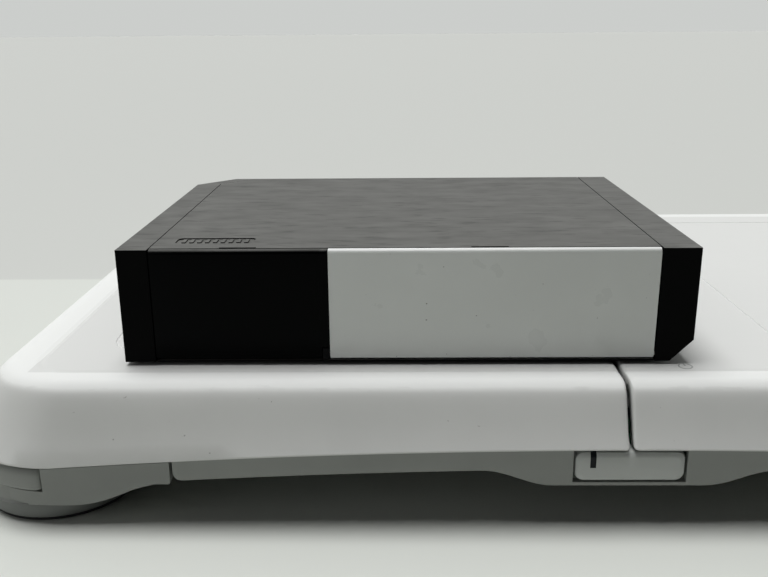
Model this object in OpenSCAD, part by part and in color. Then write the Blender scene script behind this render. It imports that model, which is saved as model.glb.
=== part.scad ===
// A game console lying flat on its balance-board controller.
// The frame's origin is on the floor under the middle of the board, +X to the console's front
// bezel, +Y away from the console's port side, +Z up. Everything is in millimetres.

/* [Balance board] */
// Width of the board over both ends
board_w = 511; // [509:1:513]
// Depth of the board from front to back
board_d = 316; // [314:1:318]
// Height of the standing face above the floor
board_top = 53.2; // [53:0.1:54]
// Corner radius of the board in plan
board_corner = 45; // [40:1:48]
// Distance between the left and right load sensors
sensor_span_x = 435.6; // [435:0.1:436]
// Distance between the front and back load sensors
sensor_span_y = 249.6; // [249:0.1:250]
// Width of the seam between the two top covers
seam_gap = 1.6; // [1.2:0.1:2.4]
// Radius of a foot disc
foot_r = 29; // [28.6:0.1:29.2]
// Width of the power button
power_key_w = 40; // [36:1:42]

/* [Console] */
// Length of the console from the rear cap to the front bezel
console_l = 215.4; // [215:0.1:216]
// Depth of the console from the port side to the far side
console_d = 157; // [157:0.1:158]
// Thickness of the console
console_h = 44; // [44:0.1:44.4]
// Height of the console's rubber feet
console_foot_h = 1.5; // [1.2:0.1:2]
// Depth of the rear cap
cap_l = 11.6; // [11.4:0.1:11.7]
// Depth of the front bezel
bezel_l = 14; // [13.9:0.1:14.2]
// Size of the bevelled corner of the case in plan
corner_cut = 17.2; // [16:0.1:18]
// Size of the bevelled lower edge of the bezel
bezel_cut = 8.4; // [7:0.1:9]
// Parting gap between the case and its end pieces
part_gap = 0.4; // [0.3:0.1:0.5]

/* [Hidden] */
$fn = 48;
eps = 0.05;

// Colours of the real materials
white_shell = [0.90, 0.91, 0.89];
grey_shell = [0.55, 0.57, 0.55];
black_shell = [0.05, 0.05, 0.055];
steel = [0.70, 0.71, 0.72];
aluminium = [0.78, 0.79, 0.80];
circuit_green = [0.08, 0.33, 0.20];
red_key = [0.80, 0.08, 0.08];
rubber = [0.16, 0.16, 0.17];

// Board: the sole of the white covers and the skirt below it follow long arches
arch_r = 3111;
arch_top = 31.2;
arch_fall = 7.2;
skirt_drop = 8.4;
base_z = 24;
base_t = 2.5;
skirt_x = 165.5;
housing_x = 166;
housing_y = 66;
housing_low = 8.1;
housing_high = 17;
bumper_x = 214;
bumper_low = 14.6;
deck_z = board_top - 5;
deck_t = 2;
rail_w = 22;
rail_h = 10.2;
rail_x = 178;
foot_x = sensor_span_x / 2;
foot_y = sensor_span_y / 2;
pad_h = 1.5;
cell_bar_z = 27;
screw_x = [-150, -60, 60, 150];
zone_in = 70;
zone_out = 200;
zone_y = 118;
zone_r = 18;
tub_x = -71;
tub_w = 66;
tub_y0 = 12;
tub_y1 = 80;
tub_top = 44;
aa_r = 7.2;
aa_l = 50.5;
key_front = board_d / 2 - 0.7;
key_low = 18.4;
key_high = 30.4;
bump_low = 16.5;

// Console: its place on the board, and the lines where its pieces meet
console_at = [-187.5, -130, board_top + console_foot_h];
wall = 2;
case_x0 = cap_l + part_gap;
bezel_x = console_l - bezel_l;
case_x1 = bezel_x - part_gap;
cut_in = corner_cut - cap_l * (2 - sqrt(2));
far_wall_x = case_x0 + corner_cut + cut_in - cap_l + 0.2;
face_y = 4;
pin_y = 1.7;
pin_z = 2.5;
pin_r = 0.8;
pin_hole_r = 0.86;
barrel_r = 1.6;
cover_t = 2;
cover_back = 0.1;
lug_x0 = 75.6;
lug_x1 = 78.2;
memory_x = [24, 64];
memory_z = [12, 25];
memory_h = 9.6;
memory_l = 42;
socket_x = [94, 125, 156, 187];
socket_z = 22;
board_z = 8;
board_t = 1.6;
chip_z = board_z + board_t;
sink_z = chip_z + 2.4;
fan_x0 = 12.2;
fan_x1 = 32.2;
fan_y = 85;
fan_z = 21.5;
fan_w = 42;
drive_x = [70, 198];
drive_y = [14, 144];
drive_z = [23, 41];
disc_x = 134;
disc_y = 79;
slot_z = 32.9;
slot_h = 3.6;
slot_w = 125;
key_y = [16, 30, 141];
key_z = 18;
key_w = 8;
card_y = [48, 88];
card_z = [12.5, 24.5];
card_pin_x = console_l - 1;
card_pin_z = card_z[0] + 1.4;
circuit_x = 205;
case_screw_at = [[20, 136], [100, 149.8], [190, 149.8], [40, 57.5], [71, 9.8], [171.5, 9.8]];
drive_post_at = [[76, 20], [192, 20], [76, 138], [192, 138]];
tray_x = [110, 134];
tray_l = 26;

// ---------------------------------------------------------------- shared shapes

// A rectangle with round corners, centred on the origin
module round_rect(w, d, r) {
    square([w - 2 * r, d], center = true);
    square([w, d - 2 * r], center = true);
    for (sx = [-1, 1], sy = [-1, 1])
        translate([sx * (w / 2 - r), sy * (d / 2 - r)]) circle(r = r);
}

// A slab with the board's outline drawn in by inset
module slab(inset, z0, z1) {
    translate([0, 0, z0]) linear_extrude(z1 - z0)
        round_rect(board_w - 2 * inset, board_d - 2 * inset, board_corner - inset / 2);
}

// A box from its low corner to its high corner
module span(lo, hi) {
    translate(lo) cube(hi - lo);
}

// Everything under the long arch whose crown is at height crown, level beyond its springing
module under_arch(crown) {
    translate([0, board_d, crown - arch_r]) rotate([90, 0, 0])
        cylinder(r = arch_r, h = 2 * board_d, $fn = 256);
    span([-board_w, -board_d, crown - arch_r], [board_w, board_d, crown - arch_fall]);
}

// A cylinder along X or along Y from its start point
module rod_x(at, r, h) {
    translate(at) rotate([0, 90, 0]) cylinder(r = r, h = h);
}

module rod_y(at, r, h) {
    translate(at) rotate([-90, 0, 0]) cylinder(r = r, h = h);
}

module at_feet() {
    for (sx = [-1, 1], sy = [-1, 1]) translate([sx * foot_x, sy * foot_y, 0]) children();
}

module on_board() {
    translate(console_at) children();
}

// ---------------------------------------------------------------- balance board

// The covers' outside: a leaning skirt, a soft shoulder and the flat standing face
module cover_outside(inset) {
    hull() {
        slab(inset, 15, 33);
        slab(inset + 5, 46 - inset, 46.5 - inset);
    }
    hull() {
        slab(inset + 5, 46 - inset, 46.5 - inset);
        slab(inset + 7, 49.8 - inset, 50 - inset);
        slab(inset + 11, board_top - inset - 0.2, board_top - inset);
    }
}

// The outline of a foot zone as a shallow groove
module zone_groove(side) {
    translate([side * (zone_in + zone_out) / 2, 0, board_top - 0.3]) linear_extrude(1)
        difference() {
            round_rect(zone_out - zone_in, 2 * zone_y, zone_r);
            round_rect(zone_out - zone_in - 1.2, 2 * zone_y - 1.2, zone_r - 0.6);
        }
}

module board_cover(side) {
    color(white_shell) difference() {
        cover_outside(0);
        difference() {
            cover_outside(3);
            slab(0, board_top - 3, board_top + 1);
        }
        under_arch(arch_top);
        zone_groove(side);
        translate([side * (seam_gap / 2 - board_w), 0, 0])
            cube([2 * board_w, 2 * board_d, 3 * board_top], center = true);
    }
}

// The curve along which a housing's sole dips towards its foot
function dip(t) = housing_low + (housing_high - housing_low) * (1 - cos(180 * min(max(t, 0), 1))) / 2;

module dip_profile(from, to, width, far) {
    steps = 12;
    polygon(concat(
        [[from, 60]],
        [for (i = [0 : steps]) let (x = from + (to - from) * i / steps) [x, dip((to - x) / width)]],
        [[far, housing_low], [far, 60]]
    ));
}

module foot_housing(sx, sy) {
    mirror([sx < 0 ? 1 : 0, 0, 0]) mirror([0, sy < 0 ? 1 : 0, 0])
        color(grey_shell) difference() {
            intersection() {
                union() {
                    intersection() {
                        slab(1, 5, 40);
                        span([housing_x, housing_y, 5], [bumper_x - 0.4, board_d, 40]);
                    }
                    intersection() {
                        slab(3.2, 5, 40);
                        span([bumper_x - 0.6, housing_y, 5], [board_w, board_d, 40]);
                    }
                }
                under_arch(arch_top - 0.2);
                rotate([90, 0, 0]) translate([0, 0, -board_d]) linear_extrude(2 * board_d)
                    dip_profile(housing_x, 212, 50, board_w);
                rotate([90, 0, 90]) linear_extrude(board_w)
                    dip_profile(housing_y, 98, 32, board_d);
            }
            intersection() {
                slab(6, housing_high + 2.4, 60);
                span([housing_x + 2.4, housing_y + 2.4, 0], [board_w, board_d, 60]);
            }
            translate([foot_x, foot_y, 0]) cylinder(r = foot_r + 1, h = 60);
        }
}

// The skirt bulges down round the power button and comes up again on each side
function bump_half() = [for (i = [0 : 10]) let (t = i / 10)
    [62 - 31 * t, arch_top - skirt_drop + 0.2 - (arch_top - skirt_drop - bump_low) * (1 - cos(180 * t)) / 2]];

module skirt_bump() {
    half = bump_half();
    left = [for (p = half) [-p[0], p[1]]];
    right = [for (i = [10 : -1 : 0]) half[i]];
    translate([0, -board_d / 2 + 4, 0]) rotate([90, 0, 0]) linear_extrude(3)
        polygon(concat([[-62, arch_top - 2]], left, right, [[62, arch_top - 2]]));
}

module board_base() {
    color(grey_shell) difference() {
        union() {
            difference() {
                intersection() {
                    slab(1, 10, 40);
                    under_arch(arch_top - 0.2);
                    cube([2 * skirt_x, 2 * board_d, 200], center = true);
                }
                slab(4, 0, 60);
                under_arch(arch_top - skirt_drop);
            }
            skirt_bump();
            intersection() {
                slab(4, base_z, base_z + base_t);
                union() {
                    cube([2 * skirt_x, 2 * board_d, 200], center = true);
                    cube([2 * board_w, 2 * housing_y - 0.8, 200], center = true);
                }
            }
            for (x = screw_x, sy = [-1, 1])
                translate([x, sy * foot_y, base_z]) cylinder(r = 5, h = deck_z - rail_h - base_z);
            for (x = [14, 86], y = [24, 76]) translate([x, y, base_z]) cylinder(r = 3, h = 4);
        }
        for (x = screw_x, sy = [-1, 1])
            translate([x, sy * foot_y, 0]) cylinder(r = 1.8, h = board_top);
        span([tub_x - tub_w / 2 - 0.2, tub_y0 - 0.2, 0], [tub_x + tub_w / 2 + 0.2, tub_y1 + 0.2, 40]);
        span([-power_key_w / 2 - 0.7, -board_d, key_low - 0.6], [power_key_w / 2 + 0.7, -board_d / 2 + 9, 60]);
    }
}

module end_bumper(side) {
    color(grey_shell) intersection() {
        difference() {
            slab(0.4, bumper_low, 30);
            slab(3, 0, 60);
        }
        under_arch(arch_top - 0.4);
        translate([side * (bumper_x + board_w), 0, 0]) cube([2 * board_w, 2 * board_d, 200], center = true);
    }
}

module deck_plate() {
    color(steel) translate([0, 0, deck_z]) linear_extrude(deck_t) round_rect(470, 276, 20);
}

module frame_rails() {
    color(steel) for (sy = [-1, 1]) difference() {
        translate([-rail_x, sy * foot_y - rail_w / 2, deck_z - rail_h]) cube([2 * rail_x, rail_w, rail_h]);
        translate([-rail_x - 1, sy * foot_y - rail_w / 2 + 1.6, deck_z - rail_h + 1.6])
            cube([2 * rail_x + 2, rail_w - 3.2, rail_h]);
        for (x = screw_x) translate([x, sy * foot_y, 0]) cylinder(r = 1.8, h = board_top);
    }
}

// Each sensor is a milled bar, thinned by two holes where it bends
module load_cells() {
    color(aluminium) for (sx = [-1, 1], sy = [-1, 1]) difference() {
        translate([sx * 193, sy * foot_y, (cell_bar_z + deck_z - rail_h) / 2])
            cube([60, 14, deck_z - rail_h - cell_bar_z], center = true);
        for (dx = [-5, 5]) rod_y([sx * 193 + dx, sy * foot_y - 10, cell_bar_z + 5.6], 3.4, 20);
    }
}

module foot_discs() {
    color(grey_shell) at_feet() {
        translate([0, 0, pad_h]) cylinder(r = foot_r, h = 8);
        translate([0, 0, pad_h + 8]) cylinder(r = 20, h = 4);
        translate([0, 0, pad_h + 12]) cylinder(r = 8, h = cell_bar_z - pad_h - 12);
    }
}

module foot_pads() {
    color(rubber) at_feet() cylinder(r = foot_r - 0.8, h = pad_h);
}

module battery_tub() {
    z = base_z + base_t;
    color(grey_shell) difference() {
        union() {
            span([tub_x - tub_w / 2 - 3, tub_y0 - 3, z], [tub_x + tub_w / 2 + 3, tub_y1 + 3, z + 1.5]);
            span([tub_x - tub_w / 2, tub_y0, z], [tub_x + tub_w / 2, tub_y1, tub_top]);
        }
        span([tub_x - tub_w / 2 + 2, tub_y0 + 12, z - 1], [tub_x + tub_w / 2 - 2, tub_y1 - 2, tub_top - 2]);
        span([tub_x - tub_w / 2 + 2, tub_y0 + 2, z - 1], [tub_x + tub_w / 2 - 2, tub_y0 + 12.5, 34]);
        translate([tub_x + 20, tub_y0 + 7, 0]) cylinder(r = 2.9, h = 60);
        span([tub_x + 16, tub_y0 + 3, 36], [tub_x + 24, tub_y0 + 11, 60]);
    }
}

module battery_cells() {
    color([0.25, 0.45, 0.30]) for (i = [-1.5 : 1 : 1.5]) {
        rod_y([tub_x + i * 15, tub_y0 + 14, 34], aa_r, aa_l - 1);
        rod_y([tub_x + i * 15, tub_y0 + 14 + aa_l - 1, 34], 2.7, 1);
    }
}

module battery_door() {
    color(grey_shell) {
        span([tub_x - tub_w / 2 + 0.2, tub_y0 + 0.2, base_z], [tub_x + tub_w / 2 - 0.2, tub_y1 - 0.2, base_z + 2.2]);
        span([tub_x - 8, tub_y0 + 2.4, base_z + 2.2], [tub_x + 8, tub_y0 + 3.6, base_z + 6]);
    }
}

module board_circuit() {
    color(circuit_green) {
        span([10, 20, 28], [90, 80, 29.6]);
        span([-12, -board_d / 2 + 15, base_z + base_t], [12, -board_d / 2 + 16.2, 36]);
    }
    color(steel) {
        span([30, 34, 29.6], [56, 54, 33]);
        span([-3, -board_d / 2 + 12, 27], [3, -board_d / 2 + 15, 31]);
    }
}

// A hollow key, longer at the top, with a slot for its light
module board_power_button() {
    color(white_shell) difference() {
        union() {
            span([-power_key_w / 2, -key_front, key_low], [power_key_w / 2, -key_front + 6, key_high]);
            span([-1.5, -key_front + 1.6, 27.2], [1.5, -key_front + 9, 29.8]);
        }
        difference() {
            span([-power_key_w / 2 + 1.6, -key_front + 1.8, key_low + 1.6], [power_key_w / 2 - 1.6, -key_front + 7, key_high - 1.6]);
            span([-1.5, -key_front + 1.6, 27.2], [1.5, -key_front + 9, 29.8]);
        }
        span([-14.6, -key_front - 1, 24.1], [-12.3, -key_front + 5, key_high + 1]);
    }
}

module board_power_light() {
    color([0.06, 0.07, 0.08]) difference() {
        span([-14.5, -key_front + 0.05, 24.2], [-12.4, -key_front + 4.8, key_high - 0.05]);
        span([-15, -key_front + 1.6, 20], [-12, -key_front + 6, key_high - 1.6]);
    }
}

module board_sync_button() {
    color(red_key) translate([tub_x + 20, tub_y0 + 7, 0]) {
        translate([0, 0, 32.8]) cylinder(r = 2.5, h = 3.4);
        translate([0, 0, 36.2]) cylinder(r = 3.4, h = 1);
    }
}

module board_screws() {
    color(steel) for (x = screw_x, sy = [-1, 1]) translate([x, sy * foot_y, 0]) {
        translate([0, 0, base_z - 1.8]) cylinder(r = 3.2, h = 1.8);
        translate([0, 0, base_z]) cylinder(r = 1.6, h = 19);
    }
}

// ---------------------------------------------------------------- console case

// The case between its two end pieces, seen from above
module case_plan(front) {
    polygon([
        [case_x0, front], [case_x1, front], [case_x1, console_d],
        [case_x0 + console_d - (console_d - corner_cut - cut_in + cap_l), console_d],
        [case_x0, console_d - corner_cut - cut_in + cap_l]
    ]);
}

module finger_notch(x) {
    span([x - 6.9, 0, console_h - 1], [x + 6.9, 3.6, console_h + 1]);
}

// A raised row of bars in a shallow recess takes the place of any badge
module badge_recess() {
    translate([34.5, 14.5, console_h - 0.5]) linear_extrude(1) difference() {
        round_rect(30, 8.5, 2);
        for (i = [-4 : 4]) translate([i * 3, 0]) square([1.4, 5], center = true);
    }
}

module case_upper_shell() {
    on_board() color(black_shell) difference() {
        union() {
            translate([0, 0, console_h - wall]) linear_extrude(wall) case_plan(2.4);
            span([far_wall_x, console_d - wall, 22.2], [case_x1, console_d, console_h - wall]);
            for (p = case_screw_at) translate([p[0], p[1], 14.3]) cylinder(r = 3, h = console_h - wall - 14.3);
        }
        for (p = case_screw_at) translate([p[0], p[1], 14]) cylinder(r = 1.25, h = 10);
        finger_notch(44.8);
        finger_notch(138.3);
        badge_recess();
    }
}

module case_lower_shell() {
    on_board() color(black_shell) difference() {
        union() {
            linear_extrude(wall) case_plan(face_y - 0.1);
            span([case_x0, 0.3, 0], [case_x1, face_y, 0.6]);
            span([far_wall_x, console_d - wall, 0], [case_x1, console_d, 22]);
            for (p = case_screw_at) translate([p[0], p[1], 0]) cylinder(r = 3.4, h = 14);
            for (p = drive_post_at) translate([p[0], p[1], 0]) cylinder(r = 3, h = 19);
            for (p = [[26, 20], [150, 60], [150, 120], [60, 118]])
                translate([p[0], p[1], 0]) cylinder(r = 3, h = board_z);
        }
        for (p = case_screw_at) translate([p[0], p[1], -1]) {
            cylinder(r = 1.4, h = 20);
            cylinder(r = 2.9, h = 4);
        }
        span([tray_x[0] - 0.2, console_d - 3, wall - 0.1], [tray_x[1] + 0.2, console_d + 1, 8.4]);
    }
}

module rear_cap() {
    inner = corner_cut - wall * (2 - sqrt(2));
    far = console_d - corner_cut - cut_in + cap_l;
    on_board() color(black_shell) difference() {
        union() {
            difference() {
                linear_extrude(console_h) polygon([
                    [0, 0], [cap_l, 0], [cap_l, far - 0.2], [console_d - far + cap_l + 0.2, console_d],
                    [corner_cut, console_d], [0, console_d - corner_cut]
                ]);
                translate([0, 0, wall]) linear_extrude(console_h - 2 * wall) polygon([
                    [wall, wall], [cap_l + 1, wall], [cap_l + 1, far - 1.2],
                    [console_d - wall - far + 1.2 + cap_l + 1, console_d - wall],
                    [wall + inner - 0.4, console_d - wall], [wall, console_d - inner - 0.4 - wall + 1.2]
                ]);
            }
            span([cap_l - 2.2, wall - eps, wall - eps], [cap_l, 5, 6]);
        }
        rod_x([cap_l - 2.2, pin_y, pin_z], pin_hole_r, 3);
        for (i = [-4 : 4]) span([-1, fan_y + i * 4.2 - 1.2, 7], [wall + 1, fan_y + i * 4.2 + 1.2, 36]);
        span([-1, 7.8, chip_z - 0.2], [wall + 1, 22.2, 26]);
        span([-1, 25.8, chip_z - 0.2], [wall + 1, 34.2, 18.2]);
        span([-1, 39.8, chip_z - 0.2], [wall + 1, 56.2, 21]);
        span([-1, 109.8, chip_z - 0.2], [wall + 1, 132.2, 21]);
    }
}

module bezel_profile(grow, x0) {
    b = bezel_cut + grow * (sqrt(2) - 2);
    polygon([
        [x0, grow], [console_l - grow - b, grow], [console_l - grow, grow + b],
        [console_l - grow, console_h - grow], [x0, console_h - grow]
    ]);
}

module front_bezel() {
    on_board() color(black_shell) difference() {
        union() {
            difference() {
                translate([0, console_d, 0]) rotate([90, 0, 0]) linear_extrude(console_d) bezel_profile(0, bezel_x);
                translate([0, console_d - wall, 0]) rotate([90, 0, 0])
                    linear_extrude(console_d - 2 * wall) bezel_profile(wall, bezel_x - 1);
            }
            span([bezel_x, wall - eps, wall - eps], [bezel_x + 2.4, 5, 6]);
            span([209.4, card_y[0] - 2, card_z[0] - 2], [console_l - wall + eps, card_y[1] + 2, card_z[1] + 2]);
        }
        rod_x([bezel_x - 1, pin_y, pin_z], pin_hole_r, 3.4);
        span([console_l - 3, disc_y - slot_w / 2 - 2, slot_z - slot_h / 2 - 1.8],
            [console_l + 1, disc_y + slot_w / 2 + 2, slot_z + slot_h / 2 + 1.8]);
        for (y = key_y) span([console_l - 3, y - key_w / 2, key_z - key_w / 2], [console_l + 1, y + key_w / 2, key_z + key_w / 2]);
        span([210.6, card_y[0], card_z[0]], [console_l + 1, card_y[1], card_z[1]]);
        rod_y([card_pin_x, card_y[0] - 1, card_pin_z], 0.55, card_y[1] - card_y[0] + 2);
        span([209, 60.6, 15.4], [211, 85.4, 18]);
        rod_x([209, 53, key_z], 2.3, 3);
    }
}

module slot_light_guide() {
    on_board() color([0.75, 0.85, 0.95]) difference() {
        span([console_l - 2.6, disc_y - slot_w / 2 - 1.9, slot_z - slot_h / 2 - 1.7],
            [console_l - 0.2, disc_y + slot_w / 2 + 1.9, slot_z + slot_h / 2 + 1.7]);
        span([console_l - 5, disc_y - slot_w / 2, slot_z - slot_h / 2],
            [console_l + 1, disc_y + slot_w / 2, slot_z + slot_h / 2]);
    }
}

// The fixed face behind the two covers, with the lug that carries their inner pins
module port_panel() {
    on_board() color(black_shell) difference() {
        union() {
            span([case_x0, face_y, wall], [case_x1, face_y + 2, console_h - wall]);
            span([lug_x0, 0.3, 0.8], [lug_x1, face_y + 0.1, 5.2]);
        }
        rod_x([lug_x0 - 1, pin_y, pin_z], pin_hole_r, 5);
        for (x = socket_x) rod_y([x, face_y - 1, socket_z], 10.2, 4);
        for (z = memory_z) span([memory_x[0], face_y - 1, z], [memory_x[1], face_y + 3, z + memory_h]);
    }
}

// A swinging cover is a flat plate with a round hinge barrel along its lower edge
module port_cover(x0, x1, barrel_end, pin_out, pin_in) {
    span([x0, cover_back, 5.7], [x1, cover_back + cover_t, console_h - 0.1]);
    span([x0, cover_back, pin_z], [barrel_end, cover_back + cover_t, 5.8]);
    rod_x([x0, pin_y, pin_z], barrel_r, barrel_end - x0);
    rod_x([x0 - pin_out, pin_y, pin_z], pin_r, barrel_end - x0 + pin_out + pin_in);
}

module controller_port_cover() {
    on_board() color(white_shell) port_cover(lug_x1 + 0.2, case_x1 - 0.1, case_x1 - 0.1, 1.3, 2.4);
}

module memory_slot_cover() {
    on_board() color(black_shell) port_cover(case_x0, lug_x1, lug_x0 - 0.2, 2.2, 1.3);
}

// ---------------------------------------------------------------- console insides

module controller_sockets() {
    on_board() color([0.35, 0.35, 0.37]) for (x = socket_x) {
        difference() {
            union() {
                rod_y([x, face_y - 0.6, socket_z], 11, 0.6);
                rod_y([x, face_y - eps, socket_z], 10, 2.1);
                span([x - 9.5, face_y + 2, chip_z], [x + 9.5, 12, socket_z + 10]);
            }
            rod_y([x, face_y - 1, socket_z], 6.8, 8);
        }
        span([x - 3.6, face_y + 4.2, socket_z - 1.8], [x + 3.6, 11.1, socket_z + 1.8]);
    }
}

module memory_card_housing() {
    on_board() color([0.30, 0.30, 0.32]) difference() {
        span([memory_x[0] - 2, face_y + 2, chip_z], [memory_x[1] + 2, face_y + memory_l + 6, 39]);
        for (z = memory_z) span([memory_x[0], 0, z], [memory_x[1], face_y + memory_l, z + memory_h]);
    }
}

module mainboard() {
    on_board() color(circuit_green) difference() {
        union() {
            span([14, 14, board_z], [197, 150, chip_z]);
            span([82, 8, board_z], [197, 15, chip_z]);
        }
        span([0, 60, 0], [36, 110, 20]);
        translate([0, console_d - 2 * corner_cut, 0]) rotate([0, 0, 45]) translate([-30, 0, 0]) cube([90, 60, 60]);
        for (p = case_screw_at) translate([p[0], p[1], 0]) cylinder(r = 3.9, h = 20);
        for (p = drive_post_at) translate([p[0], p[1], 0]) cylinder(r = 3.5, h = 20);
    }
}

module processor_chips() {
    on_board() color([0.12, 0.13, 0.14]) {
        span([38, 64, chip_z], [65, 90, sink_z]);
        span([40, 93, chip_z], [60, 106, sink_z]);
        span([80, 60, chip_z], [94, 72, chip_z + 1.4]);
        span([80, 90, chip_z], [94, 102, chip_z + 1.4]);
    }
}

module heat_sink() {
    on_board() color(aluminium) {
        span([37, 63, sink_z], [67, 107, sink_z + 3]);
        for (i = [0 : 9]) span([37, 63 + i * 4.75, sink_z + 2.9], [67, 64.2 + i * 4.75, 38]);
    }
}

module fan_housing() {
    on_board() color([0.10, 0.10, 0.11]) {
        difference() {
            span([fan_x0, fan_y - fan_w / 2, wall], [fan_x1, fan_y + fan_w / 2, 41]);
            rod_x([fan_x0 - 1, fan_y, fan_z], 18, 30);
        }
        difference() {
            union() {
                for (a = [30, 150, 270]) translate([fan_x1 - 1.5, fan_y, fan_z]) rotate([a, 0, 0])
                    translate([0, -1.2, 0]) cube([1.5, 2.4, 18.2]);
                rod_x([fan_x1 - 1.5, fan_y, fan_z], 7, 1.5);
            }
            rod_x([fan_x1 - 3, fan_y, fan_z], 1.05, 6);
        }
    }
}

module fan_rotor() {
    on_board() color([0.08, 0.08, 0.09]) {
        rod_x([fan_x0 + 3, fan_y, fan_z], 8, 14.6);
        rod_x([fan_x0 + 3, fan_y, fan_z], 1, 16.8);
        for (a = [0 : 51.4286 : 359]) translate([fan_x0 + 4, fan_y, fan_z]) rotate([a, 0, 0])
            translate([6, 0, 7.5]) rotate([0, 0, 32]) translate([-7, -0.6, 0]) cube([13, 1.2, 9.3]);
    }
}

module drive_tray() {
    on_board() color(steel) {
        difference() {
            span([drive_x[0], drive_y[0], drive_z[0]], [drive_x[1], drive_y[1], drive_z[1] - 1.2]);
            span([drive_x[0] + 1.2, drive_y[0] + 1.2, drive_z[0] + 1.2], [drive_x[1] - 1.2, drive_y[1] - 1.2, 60]);
            span([drive_x[1] - 3, disc_y - 62, slot_z - 2], [drive_x[1] + 1, disc_y + 62, slot_z + 2]);
            translate([disc_x, disc_y, 0]) cylinder(r = 1.55, h = 60);
        }
        for (y = [drive_y[0] + 1.2 - eps, drive_y[1] - 3.2]) difference() {
            span([184, y, drive_z[0] + 1], [192, y + 2 + eps, 31]);
            rod_y([188, y - 1, 28.4], 1.05, 4);
        }
        for (x = [72.2, 124]) difference() {
            span([x, 52, drive_z[0] + 1], [x + 2, 104, 29]);
            for (y = [64, 96]) rod_x([x - 1, y, 27], 1.2, 4);
            rod_x([x - 1, 56, 27], 1.25, 4);
            translate([disc_x, disc_y, drive_z[0] + 1.2]) cylinder(r = 13, h = 20);
        }
    }
}

module drive_lid() {
    on_board() color(steel) {
        span([drive_x[0], drive_y[0], drive_z[1] - 1.2], [drive_x[1], drive_y[1], drive_z[1]]);
        translate([disc_x, disc_y, drive_z[1] - 2.4]) cylinder(r = 20, h = 1.2 + eps);
    }
}

module disc_spindle() {
    on_board() color([0.80, 0.80, 0.78]) translate([disc_x, disc_y, 0]) {
        translate([0, 0, drive_z[0] + 1.8]) cylinder(r = 12, h = 3.4);
        translate([0, 0, drive_z[0] - 0.2]) cylinder(r = 1.5, h = 6);
        translate([0, 0, drive_z[0] + 5]) cylinder(r = 4, h = 2);
        translate([0, 0, 29.8]) cylinder(r = 13, h = 1.4);
        translate([0, 0, 31.1]) cylinder(r = 7.2, h = 2.6);
    }
}

module laser_sled() {
    on_board() color([0.20, 0.20, 0.23]) difference() {
        union() {
            span([104, 60.5, 25.2], [117, 100, 29.2]);
            span([106, 53.5, 28.95], [112, 62, 29.6]);
            translate([110.5, disc_y, 29.1]) cylinder(r = 3, h = 1.6);
        }
        for (y = [64, 96]) rod_x([100, y, 27], 1.26, 20);
    }
}

module sled_rails() {
    on_board() color(steel) for (y = [64, 96]) rod_x([72.2, y, 27], 1.2, 53.8);
}

module sled_screw() {
    on_board() color([0.72, 0.62, 0.35]) {
        rod_x([72, 56, 27], 1.2, 54.5);
        rod_x([74.6, 56, 27], 1.6, 49);
        rod_x([126.4, 56, 27], 2.4, 6);
    }
}

module feed_roller() {
    on_board() color(rubber) {
        rod_y([188, 18, 28.4], 2.9, 122);
        rod_y([188, drive_y[0] + 1.3, 28.4], 1, drive_y[1] - drive_y[0] - 2.6);
    }
}

module drive_dampers() {
    on_board() color(rubber) for (p = drive_post_at) translate([p[0], p[1], 19]) cylinder(r = 4.5, h = 4);
}

// A bezel key: a square cap, a flange that keeps it in, and a stem to its switch
module bezel_key(y) {
    w = key_w / 2 - 0.2;
    span([211.2, y - w - 1, key_z - w - 1], [213.1, y + w + 1, key_z + w + 1]);
    span([213, y - w, key_z - w], [console_l + 0.3, y + w, key_z + w]);
    rod_x([210.6, y, key_z], 1.5, 1);
}

module console_power_button() {
    on_board() color([0.12, 0.12, 0.13]) bezel_key(key_y[0]);
}

module reset_button() {
    on_board() color([0.12, 0.12, 0.13]) bezel_key(key_y[1]);
}

module eject_button() {
    on_board() color([0.12, 0.12, 0.13]) bezel_key(key_y[2]);
}

module card_door() {
    on_board() color(black_shell) {
        span([console_l - 1.4, card_y[0] + 0.2, card_pin_z], [console_l, card_y[1] - 0.2, card_z[1] - 0.2]);
        rod_y([card_pin_x, card_y[0] + 0.2, card_pin_z], 1, card_y[1] - card_y[0] - 0.4);
        rod_y([card_pin_x, card_y[0] - 0.8, card_pin_z], 0.5, card_y[1] - card_y[0] + 1.6);
    }
}

module console_sync_button() {
    on_board() color(red_key) {
        rod_x([208.3, 53, key_z], 2.8, 0.9);
        rod_x([209.1, 53, key_z], 1.9, 2.3);
    }
}

module front_circuit() {
    on_board() {
        color(circuit_green) difference() {
            span([circuit_x, 8, 11], [circuit_x + 1.2, 150, 27]);
            span([circuit_x - 1, 59, 10], [circuit_x + 3, 87, 30]);
            span([circuit_x - 1, 86, 10], [circuit_x + 3, 96, 14]);
        }
        color([0.2, 0.2, 0.2]) for (y = key_y) span([circuit_x + 1.2, y - 3, key_z - 3], [circuit_x + 4.6, y + 3, key_z + 3]);
        color([0.2, 0.2, 0.2]) span([circuit_x + 1.2, 50, key_z - 3], [circuit_x + 2.4, 56, key_z + 3]);
    }
}

module card_reader() {
    on_board() color(steel) difference() {
        span([184, 59.4, chip_z], [209.3, 86.6, 20]);
        span([185.5, 60.6, 15.4], [212, 85.4, 18]);
    }
}

// ---------------------------------------------------------------- rear sockets

module power_inlet() {
    on_board() color([0.10, 0.10, 0.11]) difference() {
        span([0.8, 40, chip_z], [18, 56, 20.8]);
        span([-1, 42, 11.6], [10, 54, 18.8]);
    }
}

module video_socket() {
    on_board() color([0.12, 0.12, 0.13]) difference() {
        span([0.8, 110, chip_z], [17.6, 132, 20.8]);
        difference() {
            span([-1, 111.4, 11], [9, 130.6, 18.4]);
            span([2, 113, 13.4], [10, 129, 16]);
        }
    }
}

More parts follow.
